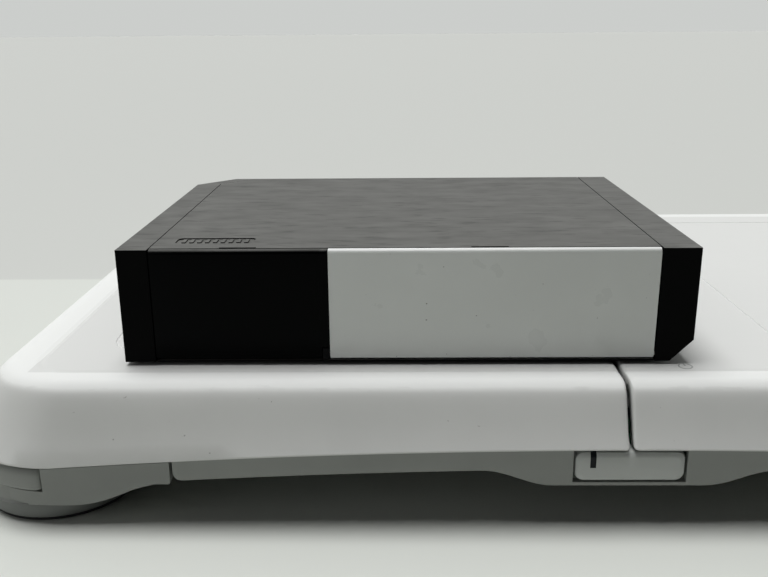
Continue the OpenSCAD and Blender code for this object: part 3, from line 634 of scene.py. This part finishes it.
def lathe(profile, centre, steps=64, axis="Z", caps=True):
    """Turns (radius, distance) pairs about an axis through centre."""
    loops = []
    for radius, along in profile:
        spots = {"X": [(along, a, b) for a, b in circle(0, 0, radius, steps)],
                 "Y": [(a, along, b) for a, b in circle(0, 0, radius, steps)],
                 "Z": [(a, b, along) for a, b in circle(0, 0, radius, steps)]}[axis]
        loops.append([tuple(a + b for a, b in zip(spot, centre)) for spot in spots])
    return loft(loops, caps)


foot_places = [(sx * FOOT_X, sy * FOOT_Y, 0) for sx in (-1, 1) for sy in (-1, 1)]
DISC = ((26.5, 1.5), (28.5, 1.55), (28.9, 1.9), (DISC_RADIUS, 2.8), (DISC_RADIUS, 8.5),
        (28.7, 9.2), (28, 9.5), (20, 9.5), (20, 13.5), (8.6, 13.5), (8, 14.2), (8, 26.9))
grey_foot = plastic("grey foot plastic", (0.20, 0.21, 0.20), 0.48, grain=0.0007,
                    depth=0.04, blotch=0.06, grime=0.25)
piece("feet", [lathe(DISC, place) for place in foot_places], "board",
      grey_foot, ["foot_discs"])

PAD = [(2, 0.4), (3, 0)]
for ring in (8, 13, 18, 23):
    PAD += [(ring - 0.7, 0), (ring - 0.4, 0.45), (ring + 0.4, 0.45), (ring + 0.7, 0)]
PAD += [(27.6, 0), (28, 0.25), (28.2, 0.8), (28.2, 1.5)]
pad_rubber = plastic("foot pad rubber", (0.028, 0.028, 0.03), 0.8, grain=0.0009, depth=0.08,
                     blotch=0.2, grime=0.3, level=0.3)
piece("foot_pad_rings", [lathe(PAD, place) for place in foot_places], "board",
      pad_rubber, ["foot_pads"])

# ---------------------------------------------------------------- board's power key
# A wide white key at the middle of the front skirt with all its edges rounded, pressed
# inwards. A dark strip of clear plastic over its light wraps over the top edge.

key_low, key_high = (1000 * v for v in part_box("board_power_button"))
KEY_FRONT = key_low.y
key_mid = (key_low.z + key_high.z) / 2
key_tall = (key_high.z - key_low.z) / 2


def key_body(front, back, half_x, half_z, centre_x, centre_z, roll, corner):
    """A keycap: a round-cornered face whose edge rolls back into straight sides."""
    loops = []
    for inset, depth in ((roll, 0), (roll * 0.55, roll * 0.12), (roll * 0.2, roll * 0.4),
                         (0, roll)):
        ring = round_plan(half_x - inset, half_z - inset, max(corner - inset * 0.5, 0.3))
        loops.append([(centre_x + x, front + depth, centre_z + z) for x, z in ring])
    ring = round_plan(half_x, half_z, corner)
    loops.append([(centre_x + x, back, centre_z + z) for x, z in ring])
    return loft(loops)


white_key = plastic("white key plastic", (0.47, 0.485, 0.47), 0.36, grain=0.0005,
                    depth=0.02, blotch=0.015, grime=0.06)
stem = loft([[(x, y, z) for x, z in ((-1.5, 27.2), (1.5, 27.2), (1.5, 29.8), (-1.5, 29.8))]
             for y in (KEY_FRONT + 5.8, key_high.y)])
piece("board_power_key", [key_body(KEY_FRONT, KEY_FRONT + 6, key_high.x, key_tall, 0,
                                   key_mid, 2.4, 3.4), stem],
      "board_power_key", white_key, ["board_power_button"])

light_low, light_high = (1000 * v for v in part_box("board_power_light"))
over = [(KEY_FRONT - 0.06, light_low.z), (KEY_FRONT - 0.06, key_high.z - 2.4),
        (KEY_FRONT + 0.23, key_high.z - 1.25), (KEY_FRONT + 0.9, key_high.z - 0.42),
        (KEY_FRONT + 2.4, key_high.z + 0.06), (KEY_FRONT + 4.6, key_high.z + 0.06)]
strip = over + [(y + 0.8, z - 0.8) for y, z in reversed(over[1:])] + [
    (KEY_FRONT + 0.74, light_low.z)]
window, window_place = bare("smoked window")
haze = window_place.noise(0.004, 3)
wire(window, {"Base Color": haze.tint((0.006, 0.007, 0.009, 1), (0.016, 0.018, 0.02, 1)),
              "Roughness": haze * 0.12 + 0.08, "Specular IOR Level": 0.12})
piece("board_light_strip", [loft([[(x, y, z) for y, z in strip] for x in
                                  (light_low.x, light_high.x)])],
      "board_power_key", window, ["board_power_light"])

# ---------------------------------------------------------------- power symbol
# A plain ring with a bar through its open top, printed in raised grey ink on the cover
# behind the key.

SYMBOL_X, SYMBOL_Y = 25, -132
ink = plastic("raised grey ink", (0.42, 0.43, 0.42), 0.5, grain=0.0004, depth=0.01)
arc = [math.radians(125 + 290 * i / 36) for i in range(37)]
ring_loops = [[(SYMBOL_X + r * math.cos(a), SYMBOL_Y + r * math.sin(a), COVER_TOP + h)
               for r, h in ((2.2, -0.1), (2.2, 0.06), (2.35, 0.1), (2.6, 0.1), (2.75, 0.06),
                            (2.75, -0.1))] for a in arc]
bar_loops = [[(SYMBOL_X + x, SYMBOL_Y + y, COVER_TOP + z) for x, z in
              ((-0.28, -0.1), (0.28, -0.1), (0.28, 0.1), (-0.28, 0.1))] for y in (0.4, 3.4)]
piece("power_symbol", [loft(ring_loops), loft(bar_loops)], "board", ink)

# ---------------------------------------------------------------- board's frame
# Inside the covers: a zinc-plated steel deck that takes the load, on two folded steel
# rails. A milled aluminium sensor bar joins each end of a rail to its foot.


def metal(name, colour, roughness, brush=(1, 14, 1), wear=0.25, spangle=0.0):
    """Bare metal: fine brushed lines along one direction, cloudy tarnish and, on zinc,
    pale spangles."""
    made, place = bare(name)
    lines = place.noise(0.0012, 4, stretch=brush)
    cloud = place.noise(0.02, 5)
    tone = lines * 0.4 + cloud * 0.6
    if spangle:
        flakes = place.add("TexVoronoi", {}, {"Vector": place, "Scale": 160}, output=1)
        tone = tone * (1 - spangle) + flakes.add("RGBToBW", {}, {0: flakes}) * spangle
    paint = tone.rise(0.25, 0.75).tint([c * (1 - wear) for c in colour] + [1], [*colour, 1])
    bumps = place.add("Bump", {}, {"Strength": 0.2, "Distance": 0.00003, "Height": lines})
    return wire(made, {"Base Color": paint, "Roughness": roughness + 0.25 * (tone - 0.5),
                       "Metallic": 1, "Normal": bumps})


def dress(material, *nodes, edge=0.0):
    """Gives CAD solids their finish, and breaks their sharp edges by edge millimetres."""
    for node in nodes:
        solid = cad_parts[node]
        for place in solid.material_slots:
            place.material = material
        if edge:
            broken = solid.modifiers.new("broken edges", "BEVEL")
            broken.width = edge / 1000
            broken.segments = 2
            broken.limit_method = "ANGLE"
            broken.angle_limit = math.radians(35)
            broken.harden_normals = True


zinc = metal("zinc-plated steel", (0.62, 0.63, 0.64), 0.34, spangle=0.5)
milled = metal("milled aluminium", (0.72, 0.73, 0.74), 0.3, brush=(14, 1, 1), wear=0.15)
dress(zinc, "deck_plate", "frame_rails", edge=0.4)
dress(milled, "load_cells", edge=0.4)

# ---------------------------------------------------------------- screws
# Pan-head screws with a cross recess: eight hold the board's shell to its rails, and six
# hold the two halves of the console's case.


def screw(x, y, head_low, head, shank, tip):
    """A screw that points up: its recessed head, and a shank with a blunt point."""
    across, bar = head * 0.58, head * 0.17
    cross = [(-bar, -across), (bar, -across), (bar, -bar), (across, -bar), (across, bar),
             (bar, bar), (bar, across), (-bar, across), (-bar, bar), (-across, bar),
             (-across, -bar), (-bar, -bar)]
    face = plate([circle(x, y, head * 0.86), [(x + a, y + b) for a, b in cross]],
                 head_low, head_low + 0.8)
    rim = lathe(((head * 0.86, head_low + 0.02), (head * 0.97, head_low + 0.25),
                 (head, head_low + 0.7), (head, head_low + 1.8), (shank, head_low + 1.8),
                 (shank, tip - 1.5), (shank * 0.4, tip)), (x, y, 0), 24, caps=False)
    recess_floor = lathe(((head * 0.9, head_low + 0.8), (head * 0.9, head_low + 0.9)),
                         (x, y, 0), 24)
    point = lathe(((shank * 0.4, tip - 0.05), (shank * 0.2, tip)), (x, y, 0), 24)
    return [face, rim, recess_floor, point]


board_heads = 1000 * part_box("board_screws")[0].z
shells = []
for x, y in screw_places:
    shells += screw(x, y, board_heads, 3.2, 1.6, 43)
piece("board_screw_set", shells, "board", zinc, ["board_screws"])

# ---------------------------------------------------------------- board's battery bay
# A grey tub between the shell and the deck holds four round cells, each in a printed
# sleeve. A clip-on door closes it from below; the red sync key stands beside the cells.

dress(grey_shell, "battery_tub", "battery_door", edge=0.4)
red_plastic = plastic("red key plastic", (0.55, 0.03, 0.03), 0.35, grain=0.0006, depth=0.02)
dress(red_plastic, "board_sync_button", edge=0.3)

sleeve, along = bare("printed cell sleeve")
cell_low, cell_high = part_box("battery_cells")
band = along.part("Y").rise(cell_high.y - 0.0150, cell_high.y - 0.0145)
cap = along.part("Y").rise(cell_high.y - 0.0016, cell_high.y - 0.0014)
print_coat = band.tint((0.03, 0.16, 0.07, 1), (0.75, 0.60, 0.28, 1))
wire(sleeve, {"Base Color": cap.tint(print_coat, (0.7, 0.7, 0.7, 1)),
              "Metallic": band * 0.7 + 0.1,
              "Roughness": along.noise(0.004, 4) * 0.2 + 0.22})
CELL_RADIUS, CELL_PITCH = 7.2, 15
CELL = ((4.5, 0), (6.6, 0.1), (7.1, 0.6), (CELL_RADIUS, 1.2), (CELL_RADIUS, 48), (7.05, 48.7),
        (6.4, 49.1), (5.6, 49.1), (5.4, 49.3), (2.8, 49.35), (2.7, 49.6), (2.5, 50.4))
cells = [lathe(CELL, (cell_low.x * 1000 + CELL_RADIUS + CELL_PITCH * i, cell_low.y * 1000,
                      (cell_low.z + cell_high.z) * 500), 32, "Y") for i in range(4)]
piece("cells", cells, "board", sleeve, ["battery_cells"])


def circuit(name, mask=(0.012, 0.085, 0.035)):
    """Glass-fibre board: green lacquer over pale tracks on a fine grid, with tinned pads."""
    made, place = bare(name)
    lanes = []
    for letter, stretch in (("X", (30, 2.5, 1)), ("Y", (2.5, 30, 1))):
        comb = place.sum_of("PINGPONG", place.part(letter) * 500, 0.5)
        used = place.noise(0.06, 1, stretch=stretch).rise(0.5, 0.52)
        lanes.append((1 - comb.rise(0.12, 0.17)) * used)
    tracks = place.sum_of("MAXIMUM", *lanes)
    dots = place.add("TexVoronoi", {}, {"Vector": place, "Scale": 260})
    pads = (1 - dots.rise(0.16, 0.2)) * place.noise(0.02, 1).rise(0.5, 0.55)
    paint = tracks.tint([*mask, 1], [c * 2.2 + 0.01 for c in mask] + [1])
    paint = pads.tint(paint, (0.62, 0.60, 0.52, 1))
    bumps = place.add("Bump", {}, {"Strength": 0.4, "Distance": 0.00004,
                                   "Height": tracks + pads})
    return wire(made, {"Base Color": paint, "Metallic": pads * 0.8,
                       "Roughness": 0.3 + 0.1 * pads, "Normal": bumps})


green_board = circuit("green circuit board")
dress(green_board, "board_circuit")

# ---------------------------------------------------------------- console's case
# Satin black plastic in four mouldings: an upper and a lower shell, a vented cap over the
# rear end and a bezel over the front end. Their open joints read as thin dark lines.

# The black mouldings' tops are painted a lighter grey: partly a dusty haze, partly a painted
# sheen that stands in for the glossy top's reflection of the bright room.
CASE = dict(blotch=0.12, grime=0.2, painted_top_light_and_dust=0.48, grain=0.00045, depth=0.035, level=0.03)
case_black = plastic("satin black case", (0.002, 0.0022, 0.0023), 0.36, **CASE)
cap_black = plastic("satin black end moulding", (0.0015, 0.0016, 0.0017), 0.32, **CASE)
dress(case_black, "case_upper_shell", "case_lower_shell", edge=0.3)
dress(cap_black, "rear_cap", "front_bezel", edge=0.9)
clear_guide, guide_place = bare("clear light guide")
frost = guide_place.noise(0.002, 3)
wire(clear_guide, {"Base Color": frost.tint((0.30, 0.36, 0.42, 1), (0.42, 0.48, 0.54, 1)),
                   "Roughness": frost * 0.2 + 0.08})
dress(clear_guide, "slot_light_guide", edge=0.25)

# ---------------------------------------------------------------- port covers
# Two thin doors along the long side, white over the controller ports and black over the
# memory slots. Each turns on pins in the round barrel along its lower edge, and its upper
# edge rolls over into the top of the case.

console = 1000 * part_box("rear_cap")[0]
PIN_Y, PIN_Z, BARREL = 1.7, 2.5, 1.6
DOOR_FACE, DOOR_BACK, DOOR_TOP, DOOR_ROLL = 0.1, 2.1, 43.9, 1.8


def door_section(low):
    """The door from the side, as (depth, height): barrel, flat face and rolled top edge."""
    section = [(DOOR_FACE, max(low, 1.9))]
    section += [(DOOR_FACE + DOOR_ROLL * (1 - math.cos(math.radians(a))),
                 DOOR_TOP - DOOR_ROLL * (1 - math.sin(math.radians(a))))
                for a in range(0, 91, 15)]
    section += [(DOOR_BACK, DOOR_TOP - 0.05), (DOOR_BACK, max(low, 4.05))]
    if low < PIN_Z:
        section += [(PIN_Y + BARREL * math.cos(math.radians(a)),
                     PIN_Z + BARREL * math.sin(math.radians(a)))
                    for a in range(60, -136, -15)]
        section += [(0.3, 1.48)]
    return section


def along_x(section, start, end):
    """Draws a section out along the console, with its two ends slightly broken."""
    mid_y, mid_z = (DOOR_FACE + DOOR_BACK) / 2, DOOR_TOP / 2
    loops = []
    for x, inset in ((start, 0.25), (start + 0.08, 0.08), (start + 0.25, 0),
                     (end - 0.25, 0), (end - 0.08, 0.08), (end, 0.25)):
        loops.append([(console.x + x, console.y + y + inset * (0.5 if y < mid_y else -0.5),
                       console.z + z + inset * (1 if z < mid_z else -1))
                      for y, z in section])
    return loft(loops)


def pin(start, end):
    return lathe(((0.8, start), (0.8, end)),
                 (console.x, console.y + PIN_Y, console.z + PIN_Z), 20, "X")


FACE = dict(grain=0.0005, depth=0.012, blotch=0.012)
# Both doors' rolled top edges and other up-facing faces are painted lighter: a painted
# highlight from the light above, grey on the black door.
white_face = plastic("white door plastic", (0.62, 0.635, 0.62), 0.30, grime=0.03, specks=0.9,
                     painted_top_light_and_dust=2.4, top_light_and_dust_colour=(0.9, 0.91, 0.9), **FACE)
black_face = plastic("black door plastic", (0.001, 0.0012, 0.0013), 0.22, grime=0.2,
                     level=0.03, painted_top_light_and_dust=0.4, **FACE)
white_low, white_high = (1000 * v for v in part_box("controller_port_cover"))
white_start, white_end = white_low.x - console.x + 1.3, white_high.x - console.x - 2.4
piece("white_port_door", [along_x(door_section(1.5), white_start, white_end),
                          pin(white_start - 1.3, white_start + 1),
                          pin(white_end - 1, white_end + 2.4)],
      "controller_cover", white_face, ["controller_port_cover"], edge=32)
black_low, black_high = (1000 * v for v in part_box("memory_slot_cover"))
black_start, black_end = black_low.x - console.x + 2.2, black_high.x - console.x
barrel_end = black_end - 2.8
piece("black_slot_door", [along_x(door_section(1.5), black_start, barrel_end),
                          along_x(door_section(5.75), barrel_end - 0.4, black_end),
                          pin(black_start - 2.2, black_start + 1),
                          pin(barrel_end - 1, barrel_end + 1.3)],
      "memory_cover", black_face, ["memory_slot_cover"], edge=32)

# ---------------------------------------------------------------- ports behind the doors
# A black panel carries four round controller sockets, each with a raised collar and a
# tongue of gilt contacts, and the mouths of two memory slots in one moulded housing.

inner_black = plastic("inner black plastic", (0.004, 0.004, 0.0045), 0.42, grain=0.0006,
                      depth=0.03, blotch=0.1, level=0.05)
inner_grey = plastic("inner grey plastic", (0.075, 0.075, 0.08), 0.45, grain=0.0006,
                     depth=0.03, blotch=0.1)
gilt = metal("gilt contacts", (0.80, 0.60, 0.25), 0.25)
dress(inner_black, "port_panel", edge=0.25)
dress(inner_grey, "memory_card_housing", edge=0.2)
COLLAR = ((11, 4), (11, 3.65), (10.75, 3.4), (8.3, 3.4), (8.15, 3.1), (7.9, 3.0), (7.15, 3.0),
          (6.9, 3.15), (6.8, 3.5), (6.8, 11), (9.9, 11), (9.9, 4), (11, 4))
SOCKET_FIRST, SOCKET_PITCH = 94, 31
sockets, contacts = [], []
for number in range(4):
    x, z = console.x + SOCKET_FIRST + SOCKET_PITCH * number, console.z + 22
    sockets.append(lathe(COLLAR, (x, console.y, z), 48, "Y", caps=False))
    sockets.append(lathe(((9.9, 11), (9.9, 12)), (x, console.y, z), 48, "Y"))
    tongue = round_plan(3.6, 1.8, 0.5, 3)
    sockets.append(loft([[(x + a * s, console.y + y, z + b * s) for a, b in tongue]
                         for y, s in ((8.2, 0.92), (8.45, 1), (11.1, 1))]))
    for way in (-1, 1):
        for i in (-2, -1, 0, 1, 2):
            lane = x + i * 1.3
            contacts.append(loft([[(lane + a, console.y + y, z + way * b) for a, b in
                                   ((-0.35, 1.75), (0.35, 1.75), (0.35, 1.86), (-0.35, 1.86))]
                                  for y in (8.5, 11)]))
        sockets.append(lathe(((1.2, 9.6), (1.2, 16)),
                             (x + way * 6, console.y + 9.5, console.z), 12))
piece("round_sockets", sockets, "console", inner_grey, ["controller_sockets"])
piece("socket_contacts", contacts, "console", gilt)
for number, level in enumerate((12, 25)):
    rows = [loft([[(console.x + 26.5 + 3.2 * i + a, console.y + y, console.z + level + h)
                   for a, h in ((0, 0), (1.6, 0), (1.6, 0.5), (0, 0.5))]
                  for y in (38, 45.8)]) for i in range(12)]
    piece(f"memory_contacts_{number + 1}", rows, "console", gilt)

# ---------------------------------------------------------------- keys on the bezel
# Small square keys with rounded tops stand just proud of the front bezel: power, reset and
# eject. The red sync key sits behind the card door, whose pins let it swing down.

dark_key = plastic("dark key plastic", (0.022, 0.022, 0.024), 0.35, grain=0.0005, depth=0.02,
                   blotch=0.1)
for node, body in (("console_power_button", "power_key"), ("reset_button", "reset_key"),
                   ("eject_button", "eject_key")):
    low, high = (1000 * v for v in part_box(node))
    mid_y, mid_z = (low.y + high.y) / 2, (low.z + high.z) / 2
    half = (high.y - low.y) / 2 - 1
    points, faces = key_body(-high.x, -high.x + 2.8, half, half, mid_y, mid_z, 0.5, 0.9)
    flange = plate([round_plan(half + 1, half + 1, 0.8, 3, (mid_y, mid_z))],
                   high.x - 4.5, high.x - 2.6)
    stem = lathe(((1.5, low.x), (1.5, high.x - 4.4)), (0, mid_y, mid_z), 20, "X")
    piece(f"{node}_cap", [([(-y, x, z) for x, y, z in points], faces),
                          ([(z, x, y) for x, y, z in flange[0]], flange[1]), stem],
          body, dark_key, [node])
dress(black_face, "card_door", edge=0.2)
dress(red_plastic, "console_sync_button", edge=0.25)

# ---------------------------------------------------------------- sockets at the rear
# Moulded and folded-steel sockets on the mainboard's edge look out through windows in the
# rear cap: twin data sockets, sensor bar, power and picture.

steel_shell = metal("drawn steel", (0.66, 0.66, 0.67), 0.26)
socket_red = plastic("red socket plastic", (0.32, 0.02, 0.02), 0.38, grain=0.0006, depth=0.02)
dress(steel_shell, "usb_sockets", "card_reader", edge=0.2)
dress(socket_red, "sensor_bar_socket", edge=0.2)
dress(dark_key, "power_inlet", "video_socket", edge=0.2)

# ---------------------------------------------------------------- boards, cooling and chips
# The mainboard lies on posts in the lower shell with two lidded chips under an aluminium
# heat sink, and a small board behind the bezel carries the key switches. The fan blows
# out through the rear cap.

chip_black = plastic("chip epoxy", (0.018, 0.019, 0.02), 0.55, grain=0.0003, depth=0.02,
                     blotch=0.15)
dress(green_board, "mainboard", "front_circuit")
dress(chip_black, "processor_chips", edge=0.2)
dress(milled, "heat_sink", edge=0.15)
fan_black = plastic("fan plastic", (0.016, 0.016, 0.018), 0.4, grain=0.0005, depth=0.02,
                    blotch=0.1)
dress(fan_black, "fan_housing", edge=0.3)

fan_low = 1000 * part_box("fan_rotor")[0]
axle_y, axle_z = console.y + 85, console.z + 21.5
HUB = ((6.8, 0), (7.6, 0.3), (8, 1), (8, 14.2), (7.6, 14.6), (1, 14.6), (1, 16.8))
BLADES = 7
rotor = [lathe(HUB, (fan_low.x, axle_y, axle_z), 40, "X")]
for blade in range(BLADES):
    loops = []
    for i in range(7):
        radius = 7.6 + 9.0 * i / 6
        twist = math.radians(58 - 5 * i)
        loop = []
        for t, thick in ((-1, 0.12), (-0.5, 0.4), (0, 0.5), (0.5, 0.45), (1, 0.12),
                         (0.5, -0.15), (0, -0.25), (-0.5, -0.2)):
            chord = 5.2 + 0.12 * i
            forward = t * chord * math.sin(twist) - thick * math.cos(twist)
            around = (t * chord * math.cos(twist) + thick * math.sin(twist)) / radius
            turn = around + 2 * math.pi * blade / BLADES + 0.03 * i
            loop.append((fan_low.x + 7.3 + forward, axle_y + radius * math.sin(turn),
                         axle_z + radius * math.cos(turn)))
        loops.append(loop)
    rotor.append(loft(loops))
piece("fan_blades", rotor, "fan_rotor", fan_black, ["fan_rotor"])

# ---------------------------------------------------------------- disc drive
# A folded steel tray and lid on four rubber dampers. A rubber-sleeved roller draws the disc
# in, a spindle turns it, and a lead screw drives the laser sled along two ground rails.

ground = metal("ground steel", (0.75, 0.75, 0.76), 0.18, brush=(1, 6, 6), wear=0.1)
brass = metal("turned brass", (0.78, 0.58, 0.26), 0.24, wear=0.2)
roller_rubber = plastic("roller rubber", (0.03, 0.03, 0.032), 0.75, grain=0.0008, depth=0.06,
                        blotch=0.15, level=0.3)
dress(zinc, "drive_tray", "drive_lid", edge=0.25)
dress(inner_grey, "laser_sled", edge=0.25)
dress(ground, "sled_rails")
damper_low, damper_high = (1000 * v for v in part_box("drive_dampers"))
BULGE = ((3.2, 0), (4.1, 0.15), (4.5, 0.6), (4.5, 1.3), (3.7, 1.7), (3.7, 2.3), (4.5, 2.7),
         (4.5, 3.4), (4.1, 3.85), (3.2, 4))
piece("rubber_dampers", [lathe(BULGE, (x, y, damper_low.z), 32)
                         for x in (damper_low.x + 4.5, damper_low.x + 120.5)
                         for y in (damper_low.y + 4.5, damper_high.y - 4.5)],
      "console", roller_rubber, ["drive_dampers"])

spin_low, spin_high = (1000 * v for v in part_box("disc_spindle"))
spin = (spin_low + spin_high) / 2
TURNTABLE = ((1.5, 0), (1.5, 1.9), (11.6, 2.0), (12, 2.4), (12, 5), (11.6, 5.4), (4, 5.4),
             (4, 7), (12.6, 7), (13, 7.3), (13, 8), (12.7, 8.35), (10.2, 8.4), (9.8, 8.1),
             (7.2, 8.1), (7.2, 9.2), (6.6, 10.3), (5.4, 10.9), (2.4, 10.9), (2.2, 10.5))
piece("turntable", [lathe(TURNTABLE, (spin.x, spin.y, spin_low.z), 48)],
      "disc_spindle", ground, ["disc_spindle"])

screw_low, screw_high = (1000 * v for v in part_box("sled_screw"))
screw_y, screw_z = (screw_low.y + screw_high.y) / 2, (screw_low.z + screw_high.z) / 2
LEAD = 3
outline = [(0, 1.0, 0), (0.2, 1.2, 0), (2.4, 1.2, 0), (2.6, 1.3, 0)]
outline += [(2.8 + i * 0.3, 1.42, 0.16) for i in range(160)]
outline += [(51, 1.3, 0), (51.4, 1.2, 0), (54.4, 1.2, 0), (54.5, 2.2, 0), (54.8, 2.4, 0),
            (60.1, 2.4, 0), (60.4, 2.2, 0)]
loops = []
for x, radius, thread in outline:
    turns = [2 * math.pi * i / 20 for i in range(20)]
    reaches = [radius + thread * math.cos(t - 2 * math.pi * x / LEAD) for t in turns]
    loops.append([(screw_low.x + x, screw_y + r * math.cos(t), screw_z + r * math.sin(t))
                  for t, r in zip(turns, reaches)])
piece("lead_screw", [loft(loops)], "sled_screw", brass, ["sled_screw"], edge=60)

roll_low, roll_high = (1000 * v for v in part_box("feed_roller"))
roll = (roll_low + roll_high) / 2
length = roll_high.y - roll_low.y
SLEEVE = 2.9
profile = [(0.8, 0), (1, 0.2), (1, 2.7), (2.6, 2.8)]
for start in (2.8, 66.7):
    end = start + 55.2
    profile += [(SLEEVE, start + 0.2)]
    profile += [(SLEEVE - groove, start + 1 + i * 1.3 + along) for i in range(41)
                for along, groove in ((0, 0), (0.25, 0.18), (0.55, 0.18), (0.8, 0))]
    profile += [(SLEEVE - 0.05, end - 0.2), (1.9, end)]
profile += [(1, length - 2.7), (1, length - 0.2), (0.8, length)]
piece("rubber_roller", [lathe(profile, (roll.x, roll_low.y, roll.z), 24, "Y")],
      "feed_roller", roller_rubber, ["feed_roller"])

# ---------------------------------------------------------------- underside of the console
# Four domed rubber feet, the case screws in their counterbores, and a small tray in the
# far side that draws out with the clock's coin cell.

foot_low = 1000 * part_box("console_feet")[0].z
DOME = ((2, 0.0), (3.6, 0.02), (4.7, 0.2), (5.3, 0.6), (5.5, 1.1), (5.5, 1.5))
piece("console_foot_domes", [lathe(DOME, (console.x + x, console.y + y, foot_low), 40)
                             for x, y in ((26, 16), (192, 16), (192, 141), (48, 141))],
      "console", pad_rubber, ["console_feet"])
shells = []
for x, y in ((20, 136), (100, 149.8), (190, 149.8), (40, 57.5), (71, 9.8), (171.5, 9.8)):
    shells += screw(console.x + x, console.y + y, console.z + 1.2, 2.6, 1.2,
                    console.z + 21.9)
piece("case_screw_set", shells, "console", steel_shell, ["case_screws"])
dress(case_black, "clock_battery_tray", edge=0.25)
dress(ground, "clock_battery", edge=0.3)
